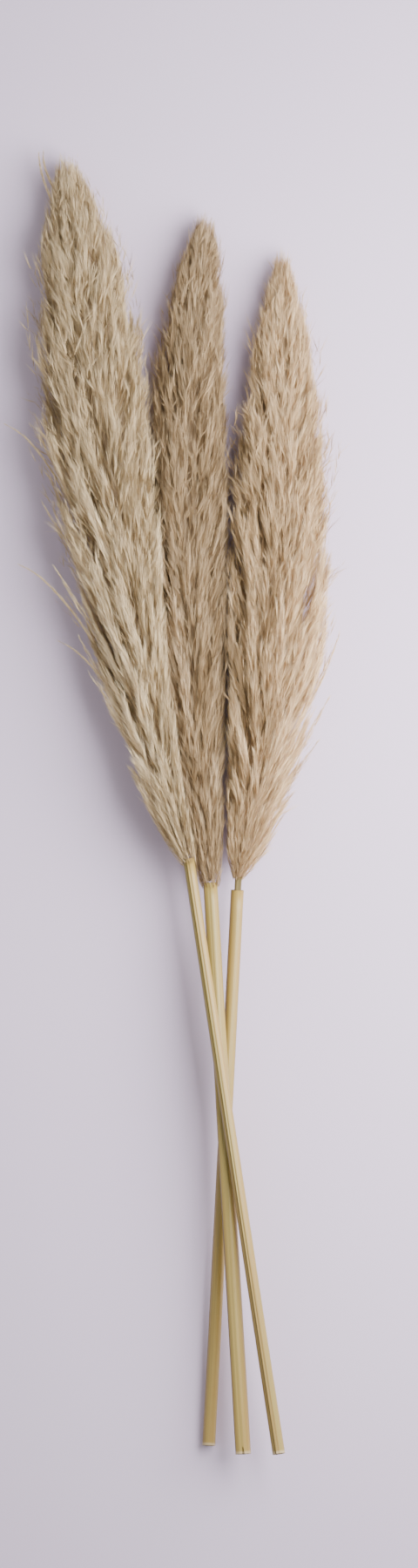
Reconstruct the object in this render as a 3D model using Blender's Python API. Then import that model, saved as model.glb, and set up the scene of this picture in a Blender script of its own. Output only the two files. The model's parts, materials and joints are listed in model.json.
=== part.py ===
"""A bundle of three dried pampas grass stalks, cut and laid down on a table.

Each stalk is three pieces: a pith-filled culm, the dry leaf sheath rolled round it, and the plume,
whose branches grow from the stalk's upper end, the rachis. The stalks lie across each other, so the
second rests on the first and the third on the second, and their plumes are pressed against the
table and against each other. Metres, +Z up, +Y from the cut ends to the plumes' tips. The origin is
on the table, under the middle of the bundle.
"""

import math
import random

import bmesh
import bpy
from mathutils import Vector

# Stems
CULM_RADIUS = 0.00385  # this and the sheath's sizes are those at a slim stem's cut end
SHEATH_BORE = 0.00415
SHEATH_WALL = 0.0009
SHEATH_LAYER_GAP = 0.00025  # between the two layers where the rolled sheath overlaps itself
SHEATH_OVERLAP = math.radians(75)
SHEATH_RIB = 0.00012
SHEATH_SWEEP = 2 * math.pi + SHEATH_OVERLAP
SHEATH_RISE = (SHEATH_WALL + SHEATH_LAYER_GAP) / (2 * math.pi)  # outwards, per radian of the roll
CULM_TOP = 0.77  # a culm's size at the plume's foot, as a share of that at the cut end
SPLIT_WIDTH = 0.0034  # of the split in the left sheath's cut end
SPLIT_LENGTH = 0.026
SPLIT_TURN = math.radians(62)  # up from the stem's right side
STEM_STATIONS = 5
OUTER_STEPS, INNER_STEPS = 28, 14  # facets round a sheath's two faces
CLEARANCE = 0.0003  # left between pieces that touch

# Plumes
CORE_SHARE = 0.58  # the dense middle's radius, as a share of the plume's
LOCK_WIDTH = 0.0052  # half the width of a lock, the tuft of spikelets on one branchlet
FULL_RADIUS = 0.045  # the plume's radius where its locks have that width; they are slimmer at its ends
LOCK_THICKNESS = 0.72  # of its width
PRESSED_ROOM = 0.22  # a pressed lock's distance from what it presses on, as a share of its width
ROOT_SHARE = 0.44  # a lock's root is this share of the plume's radius from the rachis
LOCK_WAIST = 0.42  # where it is widest, from its root to its tip
FIRST_ROOT, LAST_ROOT = 0.002, 0.947  # of the locks, along the rachis
LAST_TIP = 1.015
FLATTENED = 0.86  # a lying plume's height, as a share of its width
GOLDEN_ANGLE = math.pi * (3 - math.sqrt(5))
RACHIS_RADIUS = 0.0029

STALKS = {
    "right": dict(
        cut=(0.0326, -0.5927), base=(0.0598, -0.0636), bare_culm=0.014, sheath_turn=200,
        girth=1.04, sheath_top=0.99,
        plume_length=0.558, plume_radius=0.0470, widest=0.36, blunt=2.3, seat=0.0365, tip_height=0.016,
        bow=0.0448, bow_power=3.0, drift=-0.0328, locks=212, seed=31,
    ),
    "middle": dict(
        cut=(0.0638, -0.5975), base=(0.0334, -0.0703), bare_culm=CLEARANCE, sheath_turn=65,
        girth=1.27, sheath_top=0.91,
        plume_length=0.600, plume_radius=0.0380, widest=0.50, blunt=3.0, seat=0.033, tip_height=0.016,
        bow=-0.068, bow_power=2.0, drift=0.0973, locks=185, seed=22,
    ),
    "left": dict(
        cut=(0.0966, -0.5959), base=(0.0134, -0.0479), bare_culm=CLEARANCE, sheath_turn=35,
        girth=1.0, sheath_top=0.91,
        plume_length=0.640, plume_radius=0.0570, widest=0.60, blunt=2.2, seat=0.0475, tip_height=0.018,
        bow=-0.0264, bow_power=3.2, drift=0.0112, locks=262, seed=13,
    ),
}  # bottom of the pile first; sheath_top is a sheath's size at the plume, as a share of that at its cut

# A stray is one long loose branch: its root along the rachis, the point in plan it bends towards,
# its tip in plan, its tip's height and its radius.
BRANCH, WHISKER = 0.0030, 0.0020
STRAYS = {
    "left": [
        (0.36, (-0.0990, 0.2919), (-0.1210, 0.3359), 0.048, BRANCH),
        (0.27, (-0.0910, 0.2279), (-0.1190, 0.2759), 0.042, BRANCH),
        (0.20, (-0.0790, 0.1679), (-0.1070, 0.2159), 0.050, BRANCH),
        (0.10, (-0.0620, 0.1079), (-0.0850, 0.1519), 0.040, BRANCH),
        (0.22, (-0.0990, 0.3269), (-0.1510, 0.3479), 0.050, WHISKER),
        (0.12, (-0.0910, 0.2019), (-0.1390, 0.2199), 0.046, WHISKER),
        (0.06, (-0.0590, 0.1319), (-0.1030, 0.1499), 0.044, WHISKER),
        (0.88, (-0.1230, 0.5709), (-0.1240, 0.5979), 0.022, WHISKER),
    ],
    "middle": [],
    "right": [
        (0.38, (0.1350, 0.2279), (0.1440, 0.2759), 0.034, BRANCH),
        (0.28, (0.1300, 0.1639), (0.1420, 0.2119), 0.044, BRANCH),
        (0.12, (0.1320, 0.1019), (0.1510, 0.1539), 0.038, BRANCH),
        (0.06, (0.1200, 0.0599), (0.1410, 0.0959), 0.030, BRANCH),
        (0.02, (0.1070, 0.0239), (0.1300, 0.0559), 0.042, BRANCH),
        (0.20, (0.1270, 0.1869), (0.1410, 0.2289), 0.036, WHISKER),
    ],
}

# Where neighbouring plumes press on each other, as x in plan: at the plumes' feet, how far it moves
# over further up, and how much it leans with height. The left plume lies partly on the middle one.
BORDERS = {
    ("left", "middle"): (0.0220, -0.0415, 0.30),
    ("middle", "right"): (0.0494, 0.0, 0.0),
}
BORDER_FOOT = Vector((-0.0480, 0.0460))  # y and height at which a border has its first x
BORDER_BEND = 0.11  # length over which it moves over
SLAB_LENGTH, SLAB_HEIGHT = 1.6, 0.4  # of what is cut away beyond a border


def clear_scene():
    """Removes whatever the file opened with."""
    for old in list(bpy.data.objects):
        bpy.data.objects.remove(old)


def border_x(pair, y, z):
    """Where a pair of plumes meets, at this place along the bundle and this height."""
    start, shift, lean = BORDERS[pair]
    up = max(y - BORDER_FOOT.x, 0)
    return start + shift * (1 - math.exp(-up / BORDER_BEND)) + lean * (z - BORDER_FOOT.y)


def material(name, colour, roughness):
    """A plain dry plant surface."""
    made = bpy.data.materials.new(name)
    made.use_nodes = True
    shader = made.node_tree.nodes["Principled BSDF"]
    shader.inputs["Base Color"].default_value = (*colour, 1)
    shader.inputs["Roughness"].default_value = roughness
    shader.inputs["Metallic"].default_value = 0
    return made


class Stalk:
    """Where one stalk lies. The stem is straight, and the rachis sways and droops from its end."""

    def __init__(self, name, spec):
        self.name = name
        self.spec = spec
        cut, base = Vector(spec["cut"]), Vector(spec["base"])
        self.stem_length = (base - cut).length
        self.heading = (base - cut).normalized()
        self.side = Vector((self.heading.y, -self.heading.x, 0))
        self.seat_along = self.stem_length + spec["widest"] * spec["plume_length"]
        self.set_heights(self.sheath_radius(-math.pi / 2, 0))

    def set_heights(self, cut_height):
        """Lifts the cut end to this height. The plume's seat keeps its own."""
        self.slope = (self.spec["seat"] - cut_height) / self.seat_along
        self.start = Vector((*self.spec["cut"], cut_height))
        self.direction = Vector((*self.heading, self.slope)).normalized()

    def stem_point(self, along):
        """The stem's centre that far from the cut end in plan."""
        return self.start + along * Vector((*self.heading, self.slope))

    def sheath_radius(self, angle, along):
        """The outer radius in a direction, given as the angle up from the stem's right side."""
        turned = (angle - math.radians(self.spec["sheath_turn"])) % (2 * math.pi)
        if turned < SHEATH_OVERLAP:
            turned += 2 * math.pi
        size = self.taper(self.spec["sheath_top"], along)
        return (SHEATH_BORE + SHEATH_WALL + SHEATH_RISE * turned) * size

    def taper(self, top, along):
        """A stem part's size there, given its size at the top as a share of that at the cut end."""
        return self.spec["girth"] * (1 - (1 - top) * along / self.stem_length)

    def rachis_point(self, t):
        """The rachis at t, from 0 at the plume's base to 1 at its tip."""
        length = self.spec["plume_length"]
        point = self.stem_point(self.stem_length + t * length)
        line_end = self.stem_point(self.stem_length + length).z
        droop = (line_end - self.spec["tip_height"]) * max(t, 0) ** 2.5
        bowed = self.spec["bow"] * (1 - max(1 - t, 0) ** self.spec["bow_power"])
        return point + (bowed + self.spec["drift"] * t) * self.side - Vector((0, 0, droop))

    def rachis_frame(self, t):
        """The rachis's point at t, with the plume's level and upward unit radii there."""
        ahead = (self.rachis_point(t + 0.01) - self.rachis_point(t - 0.01)).normalized()
        side = ahead.cross(Vector((0, 0, 1))).normalized()
        return self.rachis_point(t), side, FLATTENED * side.cross(ahead)

    def plume_radius(self, t):
        """A cone that swells to its widest and closes in a blunt tip."""
        widest = self.spec["widest"]
        if t < widest:
            share = (max(t, 0.004) / widest) ** 0.35
        else:
            x = min((t - widest) / (1.03 - widest), 0.985)
            share = (1 - x ** self.spec["blunt"]) ** 0.8
        return self.spec["plume_radius"] * share

    def borders(self):
        """The pairs this plume is one of, and which way along x it lies from each border."""
        return [(pair, -1 if pair[0] == self.name else 1) for pair in BORDERS if self.name in pair]

    def pressed(self, point, room):
        """The point moved so that it keeps this room to the table and to the neighbours' borders."""
        x = point.x
        for pair, way in self.borders():
            x += way * max(room - way * (x - border_x(pair, point.y, point.z)), 0)
        return Vector((x, point.y, max(point.z, room)))


def least_gap(upper, lower, steps=160):
    """The clear distance between two stems that cross, below zero where they would overlap."""
    def spots(stalk, facing):
        alongs = [stalk.stem_length * i / steps for i in range(steps + 1)]
        return [(stalk.stem_point(along), stalk.sheath_radius(facing, along)) for along in alongs]
    above, below = spots(upper, -math.pi / 2), spots(lower, math.pi / 2)
    return min((p - q).length - r - s for p, r in above for q, s in below)


def lay_over(stalk, lower):
    """Raises a stalk's cut end until its stem only just lies on the stems below it."""
    low, high = 0.0, 0.08
    for _ in range(16):
        middle = (low + high) / 2
        stalk.set_heights(middle)
        if min(least_gap(stalk, other) for other in lower) < CLEARANCE:
            low = middle
        else:
            high = middle
    stalk.set_heights(high)


def mesh_object(name, work, collection):
    """The finished bmesh as an object in the collection."""
    mesh = bpy.data.meshes.new(name)
    work.to_mesh(mesh)
    work.free()
    made = bpy.data.objects.new(name, mesh)
    collection.objects.link(made)
    return made


def stem_curve(name, stalk, last, top):
    """A polyline from the cut end to the last point, tapering to the top share at the plume."""
    data = bpy.data.curves.new(name, "CURVE")
    data.dimensions = "3D"
    data.twist_mode = "Z_UP"
    data.use_fill_caps = True
    spline = data.splines.new("POLY")
    spline.points.add(STEM_STATIONS - 1)
    for i, point in enumerate(spline.points):
        along = last * i / (STEM_STATIONS - 1)
        point.co = (*stalk.stem_point(along), 1)
        point.radius = stalk.taper(top, along)
    obj = bpy.data.objects.new(name, data)
    bpy.context.collection.objects.link(obj)
    return obj


def rolled_profile(turn):
    """The sheath's section: a strip rolled once round the culm, with one margin over the other."""
    outline = []
    for i in range(OUTER_STEPS + 1):
        angle = SHEATH_SWEEP * i / OUTER_STEPS
        rib = SHEATH_RIB * (i % 2) * (0 < i < OUTER_STEPS)
        outline.append((SHEATH_BORE + SHEATH_WALL + SHEATH_RISE * angle - rib, angle))
    for i in range(INNER_STEPS, -1, -1):
        angle = SHEATH_SWEEP * i / INNER_STEPS
        outline.append((SHEATH_BORE + SHEATH_RISE * angle, angle))
    data = bpy.data.curves.new("sheath_profile", "CURVE")
    data.dimensions = "2D"
    spline = data.splines.new("POLY")
    spline.points.add(len(outline) - 1)
    for point, (radius, angle) in zip(spline.points, outline):
        point.co = (radius * math.cos(angle + turn), radius * math.sin(angle + turn), 0, 1)
    spline.use_cyclic_u = True
    profile = bpy.data.objects.new("sheath_profile", data)
    bpy.context.collection.objects.link(profile)
    return profile


def as_mesh(curve_object):
    """The curve's evaluated shape as a closed mesh object of the same name."""
    graph = bpy.context.evaluated_depsgraph_get()
    mesh = bpy.data.meshes.new_from_object(curve_object.evaluated_get(graph))
    name, place = curve_object.name, curve_object.matrix_world.copy()
    bpy.data.objects.remove(curve_object)
    work = bmesh.new()
    work.from_mesh(mesh)
    bmesh.ops.remove_doubles(work, verts=work.verts, dist=1e-6)
    bmesh.ops.recalc_face_normals(work, faces=work.faces)
    work.to_mesh(mesh)
    work.free()
    made = bpy.data.objects.new(name, mesh)
    made.matrix_world = place
    bpy.context.collection.objects.link(made)
    return made


def make_culm(stalk, skin):
    """The pith-filled culm, from its cut end to the foot of the plume."""
    culm = stem_curve(f"culm_{stalk.name}", stalk, stalk.stem_length - CLEARANCE, CULM_TOP)
    culm.data.bevel_depth = CULM_RADIUS
    culm.data.bevel_resolution = 3
    culm.data.materials.append(skin)
    return as_mesh(culm)


def make_sheath(stalk, skin):
    """The rolled leaf sheath, which stops short of the plume."""
    last = stalk.stem_length - stalk.spec["bare_culm"]
    sheath = stem_curve(f"sheath_{stalk.name}", stalk, last, stalk.spec["sheath_top"])
    profile = rolled_profile(math.radians(stalk.spec["sheath_turn"]))
    sheath.data.bevel_mode = "OBJECT"
    sheath.data.bevel_object = profile
    made = as_mesh(sheath)
    made.data.materials.append(skin)
    bpy.data.objects.remove(profile)
    return made


def spindle(name, point_at, rings, sides, collection):
    """A UV sphere drawn out along a path: point_at(u, across) gives each vertex's place."""
    work = bmesh.new()
    bmesh.ops.create_uvsphere(work, u_segments=sides, v_segments=rings + 1, radius=1)
    for vert in work.verts:
        u = 0.5 - math.atan2(vert.co.z, vert.co.xy.length) / math.pi
        across = vert.co.xy.normalized() if vert.co.xy.length > 1e-6 else Vector((0, 0))
        vert.co = point_at(u, across)
    if work.calc_volume(signed=True) < 0:
        bmesh.ops.reverse_faces(work, faces=work.faces)
    return mesh_object(name, work, collection)


def lock_rule(stalk):
    """Where each lock of a plume grows: root and tip along the rachis, angle, depth and curl."""
    draw = random.Random(stalk.spec["seed"])
    count = stalk.spec["locks"]
    locks = []
    for i in range(count):
        root = FIRST_ROOT + (LAST_ROOT - FIRST_ROOT) * (i + 0.5) / count
        span = min(0.05 + 0.5 * root, 0.155 - 0.075 * root) * draw.uniform(0.85, 1.25)
        angle = GOLDEN_ANGLE * i + draw.uniform(-0.25, 0.25)
        span = min(span, LAST_TIP - root)
        depth = draw.choice((0.82, 0.92, 1.0)) * draw.uniform(0.96, 1.04)
        locks.append(dict(root=root, span=span, angle=angle, depth=depth, curl=draw.uniform(-0.28, 0.28)))
    return locks


def lock_point(stalk, lock, u, room):
    """A lock comes out of the core, then runs along the plume's side to a tip that stands out."""
    t = lock["root"] + lock["span"] * u
    sunk = ROOT_SHARE * min(1, (0.97 - lock["root"]) / 0.16)  # deeper where the core thins out
    rise = sunk + (1 - sunk) * (1 - max(1 - u, 0) ** 2) + 0.05 * u**3
    out = stalk.plume_radius(min(t, 1.0)) * lock["depth"] * rise
    angle = lock["angle"] + lock["curl"] * u
    centre, side, up = stalk.rachis_frame(t)
    return stalk.pressed(centre + out * (math.cos(angle) * side + math.sin(angle) * up), room)


def make_lock(name, stalk, lock, collection):
    """One lock: a three-sided spindle along its path, with a ridge on its outer side."""
    fullness = min(stalk.plume_radius(lock["root"] + lock["span"]) / FULL_RADIUS, 1.1)
    size = LOCK_WIDTH * (0.62 + 0.38 * fullness)
    room = size * PRESSED_ROOM

    def place(u, across):
        u = LOCK_WAIST if 0 < u < 1 else u
        half = size if 0 < u < 1 else 0.0
        here = lock_point(stalk, lock, u, room)
        ahead = lock_point(stalk, lock, u + 0.02, room) - lock_point(stalk, lock, u - 0.02, room)
        outward = here - stalk.rachis_point(lock["root"] + lock["span"] * u)
        wide = ahead.cross(outward).normalized()
        thick = wide.cross(ahead).normalized()
        return here + half * (across.y * wide + LOCK_THICKNESS * across.x * thick)

    return spindle(name, place, 1, 3, collection)


def make_stray(name, stalk, stray, collection):
    """A long loose branch that leaves the plume and flicks outwards to its tip."""
    root, bend, tip, height, radius = stray
    foot = stalk.rachis_point(root)
    bend = Vector((*bend, (foot.z + height) / 2 + 0.006))  # arched a little upwards
    tip = Vector((*tip, height))

    def centre_at(u):
        point = (1 - u) ** 2 * foot + 2 * u * (1 - u) * bend + u**2 * tip
        return stalk.pressed(point, radius)

    def place(u, across):
        half = radius * (1 - 0.7 * u) if 0 < u < 1 else 0.0
        ahead = (centre_at(u + 0.02) - centre_at(u - 0.02)).normalized()
        wide = ahead.cross(Vector((0, 0, 1))).normalized()
        return centre_at(u) + half * (across.x * wide + across.y * wide.cross(ahead))

    return spindle(name, place, 5, 3, collection)


def make_core(stalk, name):
    """The dense middle of the plume, from the culm's end nearly to the plume's tip."""
    def place(u, across):
        t = 0.003 + 0.985 * u**1.4  # the rings lie closer together near the foot
        centre, side, up = stalk.rachis_frame(t)
        half = CORE_SHARE * stalk.plume_radius(t) if 0 < u < 1 else 0.0
        return stalk.pressed(centre + half * (across.x * side + across.y * up), 0.002)

    return spindle(name, place, 13, 10, bpy.context.collection)


def make_rachis(stalk, collection):
    """The rachis from the culm's end into the core."""
    data = bpy.data.curves.new("rachis", "CURVE")
    data.dimensions = "3D"
    data.use_fill_caps = True
    data.bevel_depth = RACHIS_RADIUS
    data.bevel_resolution = 2
    spline = data.splines.new("POLY")
    spline.points.add(2)
    for i, point in enumerate(spline.points):
        point.co = (*stalk.rachis_point(0.05 * i - 0.01), 1)
    rod = bpy.data.objects.new("rachis", data)
    bpy.context.collection.objects.link(rod)
    rod = as_mesh(rod)
    bpy.context.collection.objects.unlink(rod)
    collection.objects.link(rod)


def half_space(name, origin, inward, collection):
    """A large box with one face on the plane, covering everything that isn't on the inward side."""
    reach = 2.0  # far larger than the bundle
    work = bmesh.new()
    bmesh.ops.create_cube(work, size=2 * reach)
    box = mesh_object(name, work, collection)
    box.rotation_mode = "QUATERNION"
    box.rotation_quaternion = inward.to_track_quat("Z", "Y")
    box.location = origin - reach * inward


def beyond_border(pair, way, collection):
    """A slab that fills the neighbour's side of a border, and half the clearance between the two."""
    work = bmesh.new()
    bmesh.ops.create_cube(work, size=1)
    lengthwise = [edge for edge in work.edges if abs(edge.verts[0].co.y - edge.verts[1].co.y) > 0.5]
    bmesh.ops.subdivide_edges(work, edges=lengthwise, cuts=31, use_grid_fill=True)
    for vert in work.verts:
        facing = vert.co.x * way > 0
        vert.co.y *= SLAB_LENGTH
        vert.co.z *= SLAB_HEIGHT
        near = border_x(pair, vert.co.y, vert.co.z) + way * CLEARANCE / 2
        vert.co.x = near if facing else near - way
    bmesh.ops.recalc_face_normals(work, faces=work.faces)
    mesh_object("_".join(pair), work, collection)


def boolean(target, operation, collection):
    """Joins to, or cuts from, the target every object of the collection, and removes those."""
    modifier = target.modifiers.new(operation, "BOOLEAN")
    modifier.operation = operation
    modifier.solver = "MANIFOLD"
    modifier.operand_type = "COLLECTION"
    modifier.collection = collection
    graph = bpy.context.evaluated_depsgraph_get()
    mesh = bpy.data.meshes.new_from_object(target.evaluated_get(graph))
    target.modifiers.remove(modifier)
    target.data = mesh
    for used in list(collection.objects):
        bpy.data.objects.remove(used)


def drop_scraps(target):
    """Keeps only the largest connected part of the mesh."""
    work = bmesh.new()
    work.from_mesh(target.data)
    left, islands = set(work.verts), []
    while left:
        island, edge_of = set(), [left.pop()]
        while edge_of:
            vert = edge_of.pop()
            island.add(vert)
            for edge in vert.link_edges:
                other = edge.other_vert(vert)
                if other in left:
                    left.remove(other)
                    edge_of.append(other)
        islands.append(island)
    keep = max(islands, key=len)
    scraps = [vert for island in islands if island is not keep for vert in island]
    bmesh.ops.delete(work, geom=scraps, context="VERTS")
    work.to_mesh(target.data)
    work.free()


def split_end(sheath, stalk):
    """A pointed split in the sheath's wall, open at the cut end and on the sheath's upper side."""
    work = bmesh.new()
    bmesh.ops.create_cone(work, cap_ends=True, segments=4, radius1=SPLIT_WIDTH / 2, radius2=0, depth=1)
    pieces = bpy.data.collections.new("split")
    bpy.context.scene.collection.children.link(pieces)
    wedge = mesh_object("split", work, pieces)
    outward = math.cos(SPLIT_TURN) * stalk.side + math.sin(SPLIT_TURN) * Vector((0, 0, 1))
    wedge.location = stalk.start + (SHEATH_BORE + SHEATH_WALL) * outward
    wedge.rotation_mode = "QUATERNION"
    wedge.rotation_quaternion = stalk.direction.to_track_quat("Z", "Y")
    wedge.scale = (1, 1, 2 * SPLIT_LENGTH)
    bpy.context.view_layer.update()
    boolean(sheath, "DIFFERENCE", pieces)
    bpy.data.collections.remove(pieces)


def make_plume(stalk, skin):
    """Core, rachis, locks and strays in one body, cut flat where it is pressed on its neighbours."""
    pieces = bpy.data.collections.new(f"pieces_{stalk.name}")
    bpy.context.scene.collection.children.link(pieces)
    plume = make_core(stalk, f"plume_{stalk.name}")
    make_rachis(stalk, pieces)
    for i, lock in enumerate(lock_rule(stalk)):
        make_lock(f"lock_{stalk.name}_{i}", stalk, lock, pieces)
    for i, stray in enumerate(STRAYS[stalk.name]):
        make_stray(f"stray_{stalk.name}_{i}", stalk, stray, pieces)
    bpy.context.view_layer.update()
    boolean(plume, "UNION", pieces)
    half_space("table", Vector((0, 0, 0)), Vector((0, 0, 1)), pieces)
    half_space("culm_end", stalk.rachis_point(0), stalk.direction, pieces)
    for pair, way in stalk.borders():
        beyond_border(pair, way, pieces)
    bpy.context.view_layer.update()
    boolean(plume, "DIFFERENCE", pieces)
    bpy.data.collections.remove(pieces)
    drop_scraps(plume)
    plume.data.materials.clear()
    plume.data.materials.append(skin)
    return plume


def main():
    clear_scene()
    bundle = bpy.data.collections.new("pampas_grass_bundle")
    bpy.context.scene.collection.children.link(bundle)
    layer = bpy.context.view_layer.layer_collection.children[bundle.name]
    bpy.context.view_layer.active_layer_collection = layer

    straw = material("straw_sheath", (0.47, 0.38, 0.21), 0.45)
    pith = material("culm_pith", (0.56, 0.45, 0.27), 0.70)
    silk = material("plume_silk", (0.52, 0.40, 0.27), 0.80)

    laid = []
    for name, spec in STALKS.items():
        stalk = Stalk(name, spec)
        if laid:
            lay_over(stalk, laid)
        laid.append(stalk)
        make_culm(stalk, pith)
        sheath = make_sheath(stalk, straw)
        if name == "left":
            split_end(sheath, stalk)
        made = make_plume(stalk, silk)
        made.data.calc_loop_triangles()
        print(name, "cut end at", round(stalk.start.z, 4), "triangles", len(made.data.loop_triangles))


main()
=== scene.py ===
# %% [markdown]
# # Dried pampas grass, laid down in a loose bundle
#
# Pampas grass is sold as long cut stalks. A stalk has a pith-filled stem (the culm), a dry leaf
# sheath rolled round it, and a feathery plume on its end. The plume is hundreds of thin branches,
# and every branch is clothed in silky hairs. This lesson dresses a plain solid model of such a
# bundle: the stems get fibres, seams and cut ends, and the plumes are grown hair by hair.
#
# Lengths are in metres. +Y runs from the cut ends to the tips of the plumes, and +Z is up from the
# table.

import json
import math
import random
from collections import namedtuple
from functools import partial

import bmesh
import bpy
import numpy as np
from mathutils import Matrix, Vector, noise

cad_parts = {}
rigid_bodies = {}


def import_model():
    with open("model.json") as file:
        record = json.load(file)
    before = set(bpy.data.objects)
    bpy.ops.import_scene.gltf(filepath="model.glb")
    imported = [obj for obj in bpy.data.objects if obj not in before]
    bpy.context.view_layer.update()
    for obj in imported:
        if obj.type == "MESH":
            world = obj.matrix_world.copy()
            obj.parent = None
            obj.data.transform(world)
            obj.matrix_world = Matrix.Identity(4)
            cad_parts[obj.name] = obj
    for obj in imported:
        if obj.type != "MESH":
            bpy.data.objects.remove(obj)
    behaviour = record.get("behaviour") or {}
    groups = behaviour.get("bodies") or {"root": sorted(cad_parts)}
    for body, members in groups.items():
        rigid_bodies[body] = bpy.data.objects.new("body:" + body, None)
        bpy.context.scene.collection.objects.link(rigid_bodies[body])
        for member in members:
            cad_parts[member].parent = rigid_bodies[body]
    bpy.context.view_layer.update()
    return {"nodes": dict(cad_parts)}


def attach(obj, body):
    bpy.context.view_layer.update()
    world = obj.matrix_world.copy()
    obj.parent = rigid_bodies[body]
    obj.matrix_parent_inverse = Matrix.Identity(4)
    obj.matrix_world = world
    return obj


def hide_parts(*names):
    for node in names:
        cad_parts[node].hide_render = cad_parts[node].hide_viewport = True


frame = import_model()
print("solids:", ", ".join(sorted(frame["nodes"])))

# %% [markdown]
# ## Camera, table and light
#
# A long lens from far above keeps the stalks' proportions: they look the same thickness at both
# ends of the view. The table is a large plain sheet, and the light is one big soft panel on the
# right with a weaker one on the left, so that the locks of the plumes throw soft shadows to the
# left. A pale world fills in what the panels miss.

# %% Camera
VIEW_CENTRE = Vector((0.0326, 0.0201))
VIEW_LENGTH = 1.44  # of table that the long side of the picture takes in
CAMERA_HEIGHT = 5.0
MIDDLE_HEIGHT = 0.04  # of the stalks above the table
SENSOR = 36.0


def add_object(name, data):
    """A new object with this data, put in the scene."""
    made = bpy.data.objects.new(name, data)
    bpy.context.scene.collection.objects.link(made)
    return made


lens = bpy.data.cameras.new("camera")
lens.sensor_width = SENSOR
lens.lens = SENSOR * (CAMERA_HEIGHT - MIDDLE_HEIGHT) / VIEW_LENGTH
lens.clip_end = 50
camera = add_object("camera", lens)
camera.location = (*VIEW_CENTRE, CAMERA_HEIGHT)
bpy.context.scene.camera = camera
print("lens:", round(lens.lens, 1), "mm")

# %% Table
TABLE_SIZE = 14
TABLE_COLOUR = (0.680, 0.582, 0.752)


def plain_material(name, roughness):
    """A new material and its Principled shader."""
    made = bpy.data.materials.new(name)
    made.use_nodes = True
    shader = made.node_tree.nodes["Principled BSDF"]
    shader.inputs["Roughness"].default_value = roughness
    return made, shader


bpy.ops.mesh.primitive_plane_add(size=TABLE_SIZE, location=(*VIEW_CENTRE, 0))
table = bpy.context.object
table.name = "table"
paper, paper_shader = plain_material("pale_table", 0.85)
paper_shader.inputs["Base Color"].default_value = (*TABLE_COLOUR, 1)
table.data.materials.append(paper)
print("table:", TABLE_SIZE, "m wide")


# %% Light
def soft_panel(name, place, aim, size, power, colour):
    """A square area light at a place, turned to face its aim."""
    data = bpy.data.lights.new(name, "AREA")
    data.size = size
    data.energy = power
    data.color = colour
    panel = add_object(name, data)
    panel.location = place
    panel.rotation_euler = (Vector(aim) - Vector(place)).to_track_quat("-Z", "Y").to_euler()
    print(name, power, "W,", size, "m wide")


soft_panel(
    "key_panel", place=(0.82, 0.20, 0.74), aim=(0.40, 0.12, 0.03), size=1.15, power=51,
    colour=(1.0, 0.97, 0.985),
)
soft_panel(
    "fill_panel", place=(-1.6, -0.5, 2.2), aim=(0, 0.0, 0.03), size=2.0, power=8,
    colour=(0.97, 0.97, 0.98),
)
world = bpy.data.worlds.new("studio")
world.use_nodes = True
sky = world.node_tree.nodes["Background"]
sky.inputs["Color"].default_value = (0.93, 0.92, 0.865, 1)
sky.inputs["Strength"].default_value = 0.53
bpy.context.scene.world = world

# %% [markdown]
# ## How each stalk lies
#
# The solid model was grown from a few named sizes, and the finer pieces follow the same ones, so
# they land where the solids are. A stem is a straight line from its cut end. The rachis, which
# carries the plume's branches, goes on from it and sways to one side, and it droops to the table at
# its tip. A plume swells to its widest and closes in a blunt tip. Where two plumes lie against each
# other they share a border that neither crosses, and none goes below the table.

# %% Sizes of the stalks
CULM_RADIUS = 0.00385  # this and the sheath's sizes are those at a slim stem's cut end
CULM_TOP = 0.77  # a culm's size at the plume, as a share of that at the cut end
SHEATH_BORE = 0.00415
SHEATH_WALL = 0.0009
SHEATH_LAYER_GAP = 0.00025  # between the two layers where the rolled sheath overlaps itself
SHEATH_OVERLAP = math.radians(75)
SHEATH_SWEEP = 2 * math.pi + SHEATH_OVERLAP
SHEATH_RISE = (SHEATH_WALL + SHEATH_LAYER_GAP) / (2 * math.pi)  # outwards, per radian of the roll
CLEARANCE = 0.0003  # left between pieces that touch
FLATTENED = 0.86  # a lying plume's height, as a share of its width
GOLDEN_ANGLE = math.pi * (3 - math.sqrt(5))

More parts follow.
